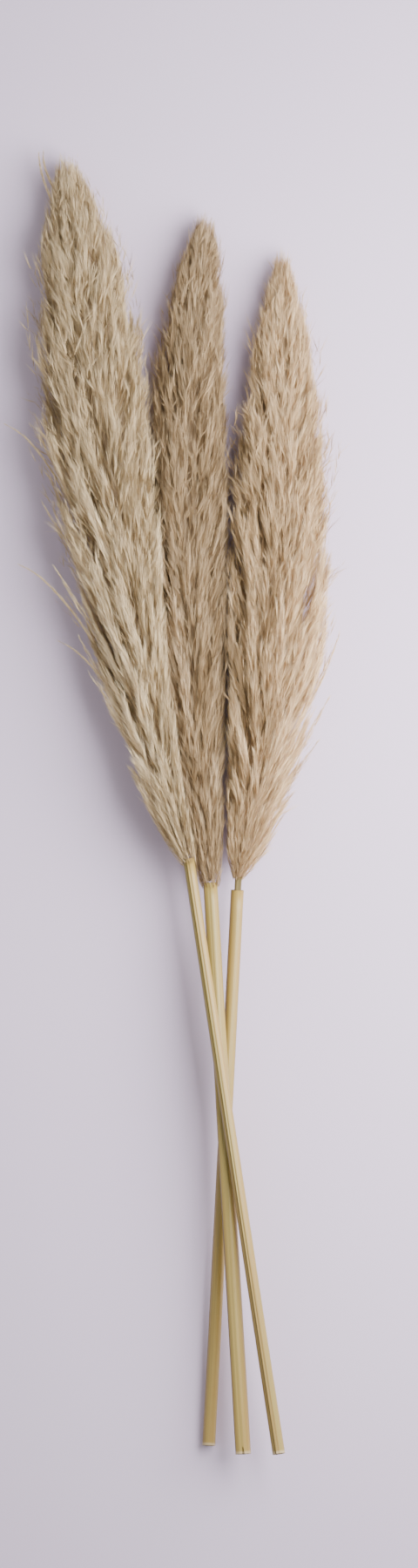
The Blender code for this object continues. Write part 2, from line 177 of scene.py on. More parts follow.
# A stalk's stem: where it is cut and where its plume starts, its thickness against a slim one's, and
# the length of culm that its sheath leaves bare. Its sheath: where the inner margin faces, in degrees
# up from the stem's right, and its size at the plume as a share of that at the cut end. Its plume:
# length, radius at its widest, where that is, how bluntly it closes, and how high its middle and its
# tip lie. Its rachis: how far it bows aside, how early, and how far it drifts aside in all. Its silk:
# locks and their seed, how far out the skirt at its foot starts, how much the strands hold back
# higher up, and on which side and how much its locks are paler, which on the right plume is painted
# light on the side that faces the key panel.
STALKS = {
    "right": dict(
        cut=(0.0326, -0.5927, 0.0067), base=(0.0598, -0.0636), girth=1.04, bare_culm=0.014,
        sheath_turn=200, sheath_top=0.99,
        plume_length=0.558, plume_radius=0.0470, widest=0.36, blunt=2.3, seat=0.0365, tip_height=0.016,
        bow=0.0448, bow_power=3.0, drift=-0.0328,
        # painted light: its locks are paler on the side that faces the key panel
        locks=212, seed=31, skirt=0.0036, fringe=-0.02, paler_side=(0.0, 1.35),
    ),
    "middle": dict(
        cut=(0.0638, -0.5975, 0.0319), base=(0.0334, -0.0703), girth=1.27, bare_culm=CLEARANCE,
        sheath_turn=65, sheath_top=0.91,
        plume_length=0.600, plume_radius=0.0380, widest=0.50, blunt=3.0, seat=0.033, tip_height=0.016,
        bow=-0.068, bow_power=2.0, drift=0.0973,
        locks=185, seed=22, skirt=0.0072, fringe=0.03, paler_side=(0.0, 0.0),
    ),
    "left": dict(
        cut=(0.0966, -0.5959, 0.0444), base=(0.0134, -0.0479), girth=1.0, bare_culm=CLEARANCE,
        sheath_turn=35, sheath_top=0.91,
        plume_length=0.640, plume_radius=0.0570, widest=0.60, blunt=2.2, seat=0.0475, tip_height=0.018,
        bow=-0.0264, bow_power=3.2, drift=0.0112,
        locks=262, seed=13, skirt=0.0060, fringe=0.09, paler_side=(math.radians(150), 0.90),
    ),
}

# Where neighbouring plumes meet, as x in plan: at their feet, how far it moves over further up, and
# how much it leans with height.
BORDERS = {
    ("left", "middle"): (0.0220, -0.0415, 0.30),
    ("middle", "right"): (0.0494, 0.0, 0.0),
}
BORDER_FOOT = Vector((-0.0480, 0.0460))  # y and height at which a border has its first x
BORDER_BEND = 0.11  # length over which it moves over

# %% The shape of a stalk
DROOP_POWER = 2.5  # the higher it is, the nearer to its tip a rachis droops
AHEAD = 0.01  # of the plume's length, each way, over which its heading is measured
FOOT_FROM, FOOT_POWER = 0.004, 0.35  # a plume's swelling, which starts with some width
TIP_PAST, TIP_CUT, TIP_POWER = 1.03, 0.985, 0.8  # its closing past its end, and where that is cut


def border_x(pair, y, z):
    """Where a pair of plumes meets, at this place along the bundle and this height."""
    start, shift, lean = BORDERS[pair]
    up = max(y - BORDER_FOOT.x, 0)
    return start + shift * (1 - math.exp(-up / BORDER_BEND)) + lean * (z - BORDER_FOOT.y)


class Stalk:
    """Where one stalk lies: its straight stem, and the rachis that sways and droops from its end."""

    def __init__(self, name, spec):
        self.name = name
        self.spec = spec
        self.start = Vector(spec["cut"])
        cut, base = self.start.xy, Vector(spec["base"])
        self.stem_length = (base - cut).length
        self.heading = (base - cut).normalized()
        self.side = Vector((self.heading.y, -self.heading.x, 0))
        seat_along = self.stem_length + spec["widest"] * spec["plume_length"]
        self.slope = (spec["seat"] - self.start.z) / seat_along
        self.direction = Vector((*self.heading, self.slope)).normalized()
        self.over = self.side.cross(self.direction)

    def stem_point(self, along):
        """The stem's centre that far from the cut end in plan."""
        return self.start + along * Vector((*self.heading, self.slope))

    def around_stem(self, centre, radius, angle):
        """The point at this radius round a point of the stem, the angle being up from its right."""
        return centre + radius * (math.cos(angle) * self.side + math.sin(angle) * self.over)

    def taper(self, top, along):
        """A stem part's size there, given its size at the top as a share of that at the cut end."""
        return self.spec["girth"] * (1 - (1 - top) * along / self.stem_length)

    def rachis_point(self, t):
        """The rachis at t, from 0 at the plume's base to 1 at its tip."""
        length = self.spec["plume_length"]
        point = self.stem_point(self.stem_length + t * length)
        line_end = self.stem_point(self.stem_length + length).z
        droop = (line_end - self.spec["tip_height"]) * max(t, 0) ** DROOP_POWER
        bowed = self.spec["bow"] * (1 - max(1 - t, 0) ** self.spec["bow_power"])
        return point + (bowed + self.spec["drift"] * t) * self.side - Vector((0, 0, droop))

    def rachis_frame(self, t):
        """The rachis's point at t, with the plume's level and upward unit radii there."""
        ahead = (self.rachis_point(t + AHEAD) - self.rachis_point(t - AHEAD)).normalized()
        side = ahead.cross(Vector((0, 0, 1))).normalized()
        return self.rachis_point(t), side, FLATTENED * side.cross(ahead)

    def plume_radius(self, t):
        """A cone that swells to its widest and closes in a blunt tip."""
        widest = self.spec["widest"]
        if t < widest:
            share = (max(t, FOOT_FROM) / widest) ** FOOT_POWER
        else:
            x = min((t - widest) / (TIP_PAST - widest), TIP_CUT)
            share = (1 - x ** self.spec["blunt"]) ** TIP_POWER
        return self.spec["plume_radius"] * share

    def pressed(self, point, room):
        """The point moved so that it keeps this room to the table and to the neighbours' borders."""
        x = point.x
        for pair in BORDERS:
            if self.name in pair:
                way = -1 if pair[0] == self.name else 1
                x += way * max(room - way * (x - border_x(pair, point.y, point.z)), 0)
        return Vector((x, point.y, max(point.z, room)))


stalks = {name: Stalk(name, spec) for name, spec in STALKS.items()}
for stalk in stalks.values():
    print(stalk.name, "stem", round(stalk.stem_length, 3), "m, plume", stalk.spec["plume_length"], "m")

# %% [markdown]
# ## One spikelet
#
# Seen close, a branch carries spikelets, each a little fan of silky hairs that leaves the branch at
# a small angle and points forwards along it. A hair could be a tube, but that costs a dozen
# triangles. One long thin triangle, wide at the hair's root, looks the same from a hand's width
# away, and leaves room for many more hairs. A few variants that fan differently keep the plume
# from looking combed. Each is one unit long.

# %% Spikelet variants
VARIANTS = 12
HAIRS_IN_SPIKELET = 7
FAN = 7  # degrees that its outer hairs lean aside
LIFT, DROP = 5, 3  # degrees that its middle hair lifts, and how much less the outer ones do
ROOTS = 0.012, 0.25  # half the width and the length over which its hairs' roots lie
HAIR_WIDTH = 0.018  # at its root, of a spikelet's length
HAIR_WIDTH_IN_MAP = 0.004
SHADES = 28  # how far apart in tone the hairs of a spikelet are, in hair widths of the map


def make_spikelet(index, shapes):
    """A fan of thin triangles along +Z, leaning to +X, with u from root to tip in its map."""
    draw = random.Random(40 + index)
    points, faces, places = [], [], []
    for i in range(HAIRS_IN_SPIKELET):
        fan = (i + 0.5) / HAIRS_IN_SPIKELET * 2 - 1
        aside = math.radians(FAN * fan + draw.uniform(-3, 3))
        lift = math.radians(LIFT - DROP * fan * fan + draw.uniform(-5, 6))
        length = draw.uniform(0.6, 1.0) * (1 - 0.15 * fan * fan)
        root = Vector((0, ROOTS[0] * fan, draw.uniform(0, ROOTS[1])))
        half = HAIR_WIDTH / 2 * draw.uniform(0.7, 1.3)
        tip = length * Vector((math.sin(lift), math.sin(aside), math.cos(lift)))
        first = len(points)
        points += [root - Vector((0, half, 0)), root + Vector((0, half, 0)), root + tip]
        faces.append((first, first + 1, first + 2))
        shade = 0.5 + draw.uniform(-SHADES, SHADES)
        places += [(0.0, shade - 0.5), (0.0, shade + 0.5), (1.0, shade)]
    mesh = bpy.data.meshes.new(f"spikelet_{index}")
    mesh.from_pydata(points, [], faces)
    layer = mesh.uv_layers.new(name="hair")
    for loop in mesh.loops:
        layer.data[loop.index].uv = places[loop.vertex_index]
    shapes.objects.link(bpy.data.objects.new(mesh.name, mesh))


spikelets = bpy.data.collections.new("spikelets")
bpy.context.scene.collection.children.link(spikelets)
for index in range(VARIANTS):
    make_spikelet(index, spikelets)

# %% [markdown]
# ## Growing spikelets along branches
#
# The branches are handed to Geometry Nodes as bare edges with some values at each point: how full
# the silk is there, how closely it is set, how thick its hairs are, how light its tone is, and which
# way is out of the lock. The tree turns edges into curves, puts a point every few millimetres, and
# stands one random spikelet on each. Its Z runs along the branch and its X looks out of the lock,
# then it is rolled at random round the branch. Hairs that would reach below the table are laid on
# it.
#
# Flat hairs would glitter, each catching the light its own way. Real silk is too fine for that: a
# lock is lit softly, like one rounded body. So each hair's shading normal is its own, pulled
# strongly towards the way out of its lock.
#
# The tone has to survive as plain mesh data. It goes into the mesh's UV map: u runs from a hair's
# root to its tip, and v is its tone, so the finish can be read from the map alone.

# %% Helpers for node trees
def feed(tree, socket, value):
    """Links an output to the socket, or sets the socket to a number, a name or a colour."""
    if isinstance(value, bpy.types.NodeSocket):
        tree.links.new(value, socket)
    else:
        socket.default_value = (*value, 1) if socket.type == "RGBA" else value


def add(tree, kind, values=(), **settings):
    """Adds a node with these settings, its inputs given as name and value or name and output."""
    node = tree.nodes.new(kind)
    for key, value in settings.items():
        setattr(node, key, value)
    for name, value in dict(values).items():
        feed(tree, next(s for s in node.inputs if s.enabled and name in (s.name, s.identifier)), value)
    return node


def out(node, name=None):
    """A node's output of that name, or its first one."""
    return next(s for s in node.outputs if s.enabled and name in (None, s.name))


def maths(tree, operation, *values):
    """A Math node's result."""
    node = add(tree, "ShaderNodeMath", operation=operation)
    for socket, value in zip(node.inputs, values):
        feed(tree, socket, value)
    return out(node)


def start_tree(name, kind, inputs, output):
    """A node group with named inputs, and its input node."""
    tree = bpy.data.node_groups.new(name, kind)
    for title, socket, default in inputs:
        made = tree.interface.new_socket(title, in_out="INPUT", socket_type=socket)
        if default is not None:
            made.default_value = default
    tree.interface.new_socket(output[0], in_out="OUTPUT", socket_type=output[1])
    return tree, tree.nodes.new("NodeGroupInput")


def end_tree(tree, result):
    """Puts the result out of the node group, which is then done."""
    tree.links.new(result, tree.nodes.new("NodeGroupOutput").inputs[0])
    return tree


# %% The tree that grows spikelets
SPIKELET_LENGTH = 0.0215  # where the silk is fullest
SPIKELET_FLARE = 0.13  # radians that it leans off its branch
ROLL = 2.3  # radians that it is rolled round the branch at most, each way
OFF_TABLE = 0.0005
ROUNDING = 1.3  # how strongly a hair is shaded as part of its rounded lock
DARKEST, PALEST = 0.12, 0.88  # tones, short of the map's edges
BRANCH_VALUES = ("tone", "fullness", "density", "width", "flare")
BRANCH_WAYS = ("outward", "along")


def spikelet_tree():
    """Edges with their values in, hairs with their map out."""
    tree, given = start_tree(
        "silky_spikelets", "GeometryNodeTree",
        [
            ("Geometry", "NodeSocketGeometry", None),
            ("Spacing", "NodeSocketFloat", 0.004),
            ("Length", "NodeSocketFloat", SPIKELET_LENGTH),
            ("Flare", "NodeSocketFloat", SPIKELET_FLARE),
            ("Table", "NodeSocketFloat", OFF_TABLE),
            ("Seed", "NodeSocketInt", 1),
            ("Spikelets", "NodeSocketCollection", None),
            ("Finish", "NodeSocketMaterial", None),
        ],
        ("Geometry", "NodeSocketGeometry"),
    )
    own = {socket.name: socket for socket in given.outputs}

    def carried(name, data_type="FLOAT"):
        """A value that the points carry."""
        return out(add(tree, "GeometryNodeInputNamedAttribute", {"Name": name}, data_type=data_type))

    def draw(low, high, step, data_type="FLOAT"):
        """A random value for each point, another one at each step."""
        values = {"Min": low, "Max": high, "Seed": maths(tree, "ADD", own["Seed"], step)}
        return out(add(tree, "FunctionNodeRandomValue", values, data_type=data_type))

    # Points along the branches, thinned where the silk is sparse.
    curves = out(add(tree, "GeometryNodeMeshToCurve", {"Mesh": own["Geometry"]}))
    values = {"Curve": curves, "Length": own["Spacing"]}
    points = out(add(tree, "GeometryNodeCurveToPoints", values, mode="LENGTH"), "Points")
    bare = maths(tree, "GREATER_THAN", draw(0.0, 1.0, 8), carried("density"))
    values = {"Geometry": points, "Selection": bare}
    thinned = out(add(tree, "GeometryNodeDeleteGeometry", values, domain="POINT"))

    # Which way each spikelet stands and leans.
    along, outward = carried("along", "FLOAT_VECTOR"), carried("outward", "FLOAT_VECTOR")
    values = {"Primary Axis": along, "Secondary Axis": outward}
    facing = out(add(tree, "FunctionNodeAxesToRotation", values, primary_axis="Z", secondary_axis="X"))
    flare = maths(tree, "MULTIPLY", own["Flare"], carried("flare"))
    lean = out(add(tree, "ShaderNodeCombineXYZ", {
        "X": maths(tree, "MULTIPLY", flare, draw(-0.6, 0.6, 1)),
        "Y": maths(tree, "MULTIPLY", flare, draw(-0.4, 1.0, 2)),
        "Z": maths(tree, "MULTIPLY", draw(-1.0, 1.0, 3), ROLL),
    }))
    lean = out(add(tree, "FunctionNodeEulerToRotation", {"Euler": lean}))
    values = {"Rotation": facing, "Rotate By": lean}
    turned = out(add(tree, "FunctionNodeRotateRotation", values, rotation_space="LOCAL"))

    # Its length and the width of its hairs.
    length = maths(tree, "MULTIPLY", own["Length"], carried("fullness"))
    length = maths(tree, "MULTIPLY", length, draw(0.65, 1.25, 4))
    width = maths(tree, "MULTIPLY", length, draw(0.7, 1.2, 5))
    width = maths(tree, "MULTIPLY", width, carried("width"))
    size = out(add(tree, "ShaderNodeCombineXYZ", {"X": length, "Y": width, "Z": length}))

    # One random variant on each point, with its branch's tone, as real hairs.
    values = {"Collection": own["Spikelets"], "Separate Children": True}
    shapes = out(add(tree, "GeometryNodeCollectionInfo", values))
    stood = out(add(tree, "GeometryNodeInstanceOnPoints", {
        "Points": thinned, "Instance": shapes, "Pick Instance": True,
        "Instance Index": draw(0, VARIANTS - 1, 6, "INT"), "Rotation": turned, "Scale": size,
    }))
    varied = maths(tree, "ADD", carried("tone"), draw(-0.06, 0.06, 7))
    values = {"Geometry": stood, "Name": "tone", "Value": varied}
    toned = add(
        tree, "GeometryNodeStoreNamedAttribute", values, data_type="FLOAT", domain="INSTANCE"
    )
    real = out(add(tree, "GeometryNodeRealizeInstances", {"Geometry": out(toned)}))

    # Hairs that reach below the table are laid on it.
    parts = add(tree, "ShaderNodeSeparateXYZ", {"Vector": out(add(tree, "GeometryNodeInputPosition"))})
    laid = out(add(tree, "ShaderNodeCombineXYZ", {
        "X": out(parts, "X"), "Y": out(parts, "Y"),
        "Z": maths(tree, "MAXIMUM", out(parts, "Z"), own["Table"]),
    }))
    settled = out(add(tree, "GeometryNodeSetPosition", {"Geometry": real, "Position": laid}))

    # The shading of a rounded lock.
    values = {"Vector": carried("outward", "FLOAT_VECTOR"), "Scale": ROUNDING}
    outwards = out(add(tree, "ShaderNodeVectorMath", values, operation="SCALE"))
    rounded = add(tree, "ShaderNodeVectorMath", operation="ADD")
    feed(tree, rounded.inputs[1], outwards)
    feed(tree, rounded.inputs[0], out(add(tree, "GeometryNodeInputNormal")))
    values = {"Mesh": settled, "Custom Normal": out(rounded)}
    shaded = out(add(tree, "GeometryNodeSetMeshNormal", values, mode="FREE", domain="POINT"))

    # The map: along the hair, and its tone with the hair's own width round it.
    across = add(tree, "ShaderNodeSeparateXYZ", {"Vector": carried("hair", "FLOAT_VECTOR")})
    shift = maths(tree, "SUBTRACT", out(across, "Y"), 0.5)
    shift = maths(tree, "MULTIPLY", shift, HAIR_WIDTH_IN_MAP)
    values = {"Value": carried("tone"), "Min": DARKEST, "Max": PALEST}
    tone = maths(tree, "ADD", out(add(tree, "ShaderNodeClamp", values)), shift)
    mapped = out(add(tree, "ShaderNodeCombineXYZ", {"X": out(across, "X"), "Y": tone, "Z": 0.0}))
    values = {"Geometry": shaded, "Name": "OFBake", "Value": mapped}
    last = out(add(
        tree, "GeometryNodeStoreNamedAttribute", values, data_type="FLOAT2", domain="CORNER"
    ))
    for spent in ("hair", *BRANCH_VALUES, *BRANCH_WAYS):
        last = out(add(tree, "GeometryNodeRemoveAttribute", {"Geometry": last, "Name": spent}))
    finished = add(tree, "GeometryNodeSetMaterial", {"Geometry": last, "Material": own["Finish"]})
    return end_tree(tree, out(finished))


grow_spikelets = spikelet_tree()
print("tree nodes:", len(grow_spikelets.nodes))


# %% Running a tree on an object
def apply_tree(obj, tree, values):
    """Runs the tree on the object with these input values and returns its result as a plain mesh."""
    modifier = obj.modifiers.new(tree.name, "NODES")
    modifier.node_group = tree
    for item in tree.interface.items_tree:
        if item.in_out == "INPUT" and item.name in values:
            modifier[item.identifier] = values[item.name]
    bpy.context.view_layer.update()
    graph = bpy.context.evaluated_depsgraph_get()
    mesh = bpy.data.meshes.new_from_object(obj.evaluated_get(graph))
    obj.modifiers.remove(modifier)
    return mesh


# %% [markdown]
# ## The silk's finish
#
# Dried pampas silk is warm beige. A hair is browner near its root, where it is deep in the plume,
# and bleached to cream at its tip. Whole branches are darker or lighter too. Both come from the
# hair's own map, one ramp for the darkest branches and one for the palest, mixed by tone. The silk
# has a soft sheen and almost no gloss.

# %% Helpers for finishes
def ramp(tree, factor, stops):
    """A colour ramp through these (position, colour) stops."""
    node = tree.nodes.new("ShaderNodeValToRGB")
    tree.links.new(factor, node.inputs[0])
    points = node.color_ramp.elements
    while len(points) < len(stops):
        points.new(0.5)
    for point, (position, colour) in zip(points, stops):
        point.position = position
        point.color = (*colour, 1)
    return node.outputs[0]


def mask(tree, factor, *stops):
    """A ramp of greys through these (position, level) stops."""
    return ramp(tree, factor, [(position, (level, level, level)) for position, level in stops])


def mix(tree, factor, first, second, blend="MIX"):
    """A colour mix of two outputs or colours."""
    node = add(tree, "ShaderNodeMix", data_type="RGBA", blend_type=blend)
    sockets = [s for s in node.inputs if s.enabled]
    for socket, value in zip(sockets, (factor, first, second)):
        feed(tree, socket, value)
    return out(node)


def use_group(tree, group, **values):
    """A group's result with these inputs."""
    node = tree.nodes.new("ShaderNodeGroup")
    node.node_tree = group
    for name, value in values.items():
        node.inputs[name].default_value = value
    return node.outputs[0]


def map_parts(tree, name="OFBake"):
    """The two directions of a piece's own map, as the X and Y of this node."""
    own_map = out(add(tree, "ShaderNodeUVMap", uv_map=name))
    return add(tree, "ShaderNodeSeparateXYZ", {"Vector": own_map})


# %% Silk
DARK_SILK = [(0.0, (0.35, 0.240, 0.125)), (0.3, (0.41, 0.295, 0.160)), (1.0, (0.53, 0.40, 0.23))]
PALE_SILK = [(0.0, (0.62, 0.470, 0.270)), (0.3, (0.76, 0.610, 0.390)), (1.0, (0.97, 0.86, 0.66))]
OLIVE_TINT, TAN_TINT = (1.00, 0.995, 0.92), (1.06, 0.955, 0.83)


def silk_group():
    """A hair's colour from its map, as a shader group whose warmth turns olive beige into tan."""
    tree, given = start_tree(
        "silk_colours", "ShaderNodeTree",
        [("Warmth", "NodeSocketFloat", 0.5), ("Lightness", "NodeSocketFloat", 1.0)],
        ("Color", "NodeSocketColor"),
    )
    place = map_parts(tree)
    dark = ramp(tree, out(place, "X"), DARK_SILK)
    pale = ramp(tree, out(place, "X"), PALE_SILK)
    colour = mix(tree, out(place, "Y"), dark, pale)
    tint = mix(tree, out(given, "Warmth"), OLIVE_TINT, TAN_TINT)
    colour = mix(tree, 1.0, colour, tint, "MULTIPLY")
    lightened = add(tree, "ShaderNodeVectorMath", {"Vector": colour}, operation="SCALE")
    feed(tree, lightened.inputs["Scale"], out(given, "Lightness"))
    return end_tree(tree, out(lightened))


silk_colours = silk_group()


def make_silk(name, warmth, lightness):
    """The silk of one plume."""
    silk, shader = plain_material(name, 0.62)
    colour = use_group(silk.node_tree, silk_colours, Warmth=warmth, Lightness=lightness)
    feed(silk.node_tree, shader.inputs["Base Color"], colour)
    shader.inputs["Sheen Weight"].default_value = 0.25
    shader.inputs["Sheen Roughness"].default_value = 0.4
    shader.inputs["Specular IOR Level"].default_value = 0.3
    return silk


silks = {
    "left": make_silk("silk_olive", warmth=0.08, lightness=0.97),
    "middle": make_silk("silk_tan", warmth=0.95, lightness=0.70),
    "right": make_silk("silk_cream", warmth=0.85, lightness=0.98),
}
print("silks:", [silk.name for silk in silks.values()])

# %% [markdown]
# ## The branches of a plume
#
# Each lock of the solid plume stands for one branch and its side branches. Here a lock becomes
# several strands that leave the rachis together, spread across the lock's width and part again at
# their tips. Shorter fillers of coarser hair grow between the locks, nearer the middle, and a lining
# of closely set strands hides the plume's heart. Sparse wisps of very fine hair stand a little out of
# it all round, which blurs its outline like a haze. Higher up the locks are looser and more alike.
# A skirt of short strands covers the plume's foot. Every number that is drawn at random has a
# fixed seed, so the plume grows the same way each time.

# %% Locks, as in the solids
ROOT_SHARE = 0.44  # a lock's root is this share of the plume's radius from the rachis
FIRST_ROOT, LAST_ROOT = 0.002, 0.947  # of the locks, along the rachis
LAST_TIP = 1.015
DEPTHS = (0.82, 0.92, 1.0)  # how far out the layers of locks lie, as shares of the plume's radius
CURL = 0.28  # radians that a lock turns round the rachis at most, each way
LOCK_WIDTH = 0.0052  # half of a lock's
LOCK_WAIST = 0.42  # where it is widest, from its root to its tip
FULL_RADIUS = 0.045  # the plume's radius where its locks have that width


def lock_rule(stalk):
    """Where each lock of a plume grows: root and tip along the rachis, angle, depth and curl."""
    draw = random.Random(stalk.spec["seed"])
    count = stalk.spec["locks"]
    locks = []
    for i in range(count):
        root = FIRST_ROOT + (LAST_ROOT - FIRST_ROOT) * (i + 0.5) / count
        span = min(0.05 + 0.5 * root, 0.155 - 0.075 * root) * draw.uniform(0.85, 1.25)
        angle = GOLDEN_ANGLE * i + draw.uniform(-0.25, 0.25)
        span = min(span, LAST_TIP - root)
        depth = draw.choice(DEPTHS) * draw.uniform(0.96, 1.04)
        curl = draw.uniform(-CURL, CURL)
        locks.append(dict(root=root, span=span, angle=angle, depth=depth, curl=curl))
    return locks


def lock_point(stalk, lock, u, room):
    """A lock comes out of the plume's middle, then runs along its side to a tip that stands out."""
    t = lock["root"] + lock["span"] * u
    sunk = ROOT_SHARE * min(1, (0.97 - lock["root"]) / 0.16)
    rise = sunk + (1 - sunk) * (1 - max(1 - u, 0) ** 2) + 0.05 * max(u, 0) ** 3
    reach = stalk.plume_radius(min(t, 1.0)) * lock["depth"] * rise
    angle = lock["angle"] + lock["curl"] * u
    centre, side, up = stalk.rachis_frame(t)
    return stalk.pressed(centre + reach * (math.cos(angle) * side + math.sin(angle) * up), room)


def lock_size(stalk, lock):
    """Half of a lock's width."""
    fullness = min(stalk.plume_radius(lock["root"] + lock["span"]) / FULL_RADIUS, 1.1)
    return LOCK_WIDTH * (0.62 + 0.38 * fullness)


print("locks:", {name: len(lock_rule(stalk)) for name, stalk in stalks.items()})

# %% [markdown]
# ## One strand
#
# A strand follows its lock's line, at its own place across the lock. A lock is widest at its waist,
# and its strands part again near its tip. Each point of a strand carries all that the tree needs to
# know there. The silk has painted light on the lobes of a plume, where locks crowd together, and
# painted shade in the hollows between them and on the plume's sides and underside. It is also darker
# halfway along the plume.

# %% Strands of a lock
STRAND_POINTS = 8
STRAND_ROOM = 0.0012  # that a strand keeps to the table and to the neighbours' borders
STRAND_ROOT = 0.16  # where along its lock a strand starts
LOW_ROOT = 0.06  # locks that grow below this are clothed down to the culm
LOOSE_FROM, LOOSE_OVER, LOOSEST = 0.34, 0.36, 0.80  # where and how much a plume's locks loosen
LOBE_WIDTH, LOBE_LENGTH = 0.019, 0.080

# What lightens or darkens a strand: a lift everywhere, painted light on lobes and painted shade in
# the hollows between them, looseness except on wisps, being halfway along the plume, and painted
# shade on the plume's sides and underside.
TONE_LIFT, LOBE_PAINTED_LIGHT, LOOSE_SHADE, HALFWAY_SHADE, SIDE_PAINTED_SHADE = 0.12, 0.22, 0.07, 0.20, 0.26

# A point of a strand: its place, and what the tree reads there.
Spot = namedtuple("Spot", "place fullness density width flare tone outward")


def ramped(value, start, length):
    """0 up to the start, 1 from that length further on, and straight between."""
    return min(max(value - start, 0) / length, 1)


def room_for_hairs(stalk, t):
    """The share of the solid's radius that strands keep to, so that their hairs end at its skin."""
    return 0.91 - 0.14 * (1 - ramped(t, 0, 0.34)) - stalk.spec["fringe"] * ramped(t, 0.40, 0.3)


def lobe(stalk, point):
    """How far this place is on a lobe of the plume, above 0, or in a hollow between lobes, below 0."""
    across, height = point.x / LOBE_WIDTH, point.z / LOBE_WIDTH + stalk.spec["seed"]
    return noise.noise(Vector((across, point.y / LOBE_LENGTH, height)))


def strand(stalk, lock, size, tone, draw, first=STRAND_ROOT, density=1.0, width=1.0, flare=1.0):
    """One branch of a lock, as the spots along it."""
    turn = draw.uniform(0, 2 * math.pi)
    reach = 1.12 * size * math.sqrt(draw.random())
    parting = draw.uniform(-1, 1) * size * 0.9, draw.uniform(-0.4, 0.5) * size * 0.6
    first += draw.uniform(-0.04, 0.12) * (lock["root"] > LOW_ROOT)
    last = draw.uniform(0.74, 1.10)
    made = []
    for i in range(STRAND_POINTS):
        share = i / (STRAND_POINTS - 1)
        u = first + (last - first) * share
        t = lock["root"] + lock["span"] * u
        calm = 1 - LOOSEST * ramped(t, LOOSE_FROM, LOOSE_OVER)
        foot = min(1, 0.55 + 0.45 * t / 0.13)

        # Its line is its lock's, drawn in to leave room for the hairs, and it flicks out at its tip.
        here, before, after = (lock_point(stalk, lock, u + step, size * 0.4) for step in (0, -0.02, 0.02))
        raised = lobe(stalk, here)
        flick = 0.08 * share**4 * (1 - t)
        centre = stalk.rachis_point(t)
        here = centre.lerp(here, room_for_hairs(stalk, t) + 0.05 * raised + flick)
        ahead = after - before
        wide = ahead.cross(here - centre).normalized()
        thick = wide.cross(ahead).normalized()

        # It has its own place across the lock, which closes at both ends, and parts from it at the tip.
        swell = min(u / LOCK_WAIST, 1) ** 0.7 * min(max(1 - u, 0) / (1 - LOCK_WAIST), 1) ** 0.7
        loose = foot * (1.45 - 0.45 * calm)
        across = loose * (reach * math.cos(turn) * swell + parting[0] * share**3)
        over = loose * (reach * math.sin(turn) * swell * 0.8 + parting[1] * share**3)
        point = stalk.pressed(here + across * wide + over * thick, STRAND_ROOM)

        # Its hairs are longest in its middle, and shorter towards the plume's tip.
        full = foot * (0.72 + 0.28 * math.sin(math.pi * min(share * 1.15, 1)) - 0.38 * share**3)
        full *= 1 - 0.3 * max(t - 0.85, 0) / 0.15
        away = (thick + 0.5 * across / size * wide).normalized()
        # painted light on lobes, and painted shade in hollows and where the strand faces sideways or down
        shade = 0.5 + calm * (tone - 0.5 + LOBE_PAINTED_LIGHT * raised) - LOOSE_SHADE * (1 - calm) * (flare == 1)
        shade += TONE_LIFT - HALFWAY_SHADE * math.sin(math.pi * t) ** 2 - SIDE_PAINTED_SHADE * (1 - max(away.z, 0))
        made.append(Spot(point, full, density, width, flare * (1.3 - 0.3 * calm), shade, away))
    return made


print("points of a strand:", STRAND_POINTS)

# %% [markdown]
# ## Strands that follow no lock
#
# A few long wisps leave the outline, and each is listed one by one, as in the solids: a loose branch
# carries spikelets like any other, and a whisker is nearly bare. The lining and the skirt follow
# the plume as a whole, one inside it and the other round its foot.

# %% Loose wisps on the outline
BRANCH, WHISKER = 0.0030, 0.0020  # their radii

# How many strands each kind has, how far apart and from where on they are clothed, how full they are
# and how much sparser towards the tip, and how wide, flared and light their hairs are.
STRAY_KINDS = {
    BRANCH: dict(
        strands=7, apart=0.9, start=0.3, full=0.70, sparser=0.3, width=0.9, flare=1.0, tone=0.75
    ),
    WHISKER: dict(
        strands=9, apart=0.3, start=0.35, full=0.50, sparser=0, width=1.2, flare=0.3, tone=0.35
    ),
}

# Where each leaves the rachis, the places in plan where it bends and ends, its tip's height, and its
# radius.
STRAYS = {
    "left": [
        (0.36, (-0.0990, 0.2919), (-0.1210, 0.3359), 0.048, BRANCH),
        (0.27, (-0.0910, 0.2279), (-0.1190, 0.2759), 0.042, BRANCH),
        (0.20, (-0.0790, 0.1679), (-0.1070, 0.2159), 0.050, BRANCH),
        (0.10, (-0.0620, 0.1079), (-0.0850, 0.1519), 0.040, BRANCH),
        (0.22, (-0.0990, 0.3269), (-0.1510, 0.3479), 0.050, WHISKER),
        (0.12, (-0.0910, 0.2019), (-0.1390, 0.2199), 0.046, WHISKER),
        (0.06, (-0.0590, 0.1319), (-0.1030, 0.1499), 0.044, WHISKER),
        (0.88, (-0.1230, 0.5709), (-0.1240, 0.5979), 0.022, WHISKER),
        (0.93, (-0.1210, 0.5810), (-0.1200, 0.6000), 0.020, WHISKER),
    ],
    "middle": [],
    "right": [
        (0.38, (0.1350, 0.2279), (0.1440, 0.2759), 0.034, BRANCH),
        (0.28, (0.1300, 0.1639), (0.1420, 0.2119), 0.044, BRANCH),
        (0.12, (0.1320, 0.1019), (0.1510, 0.1539), 0.038, BRANCH),
        (0.06, (0.1200, 0.0599), (0.1410, 0.0959), 0.030, BRANCH),
        (0.02, (0.1070, 0.0239), (0.1300, 0.0559), 0.042, BRANCH),
        (0.20, (0.1270, 0.1869), (0.1410, 0.2289), 0.036, WHISKER),
    ],
}


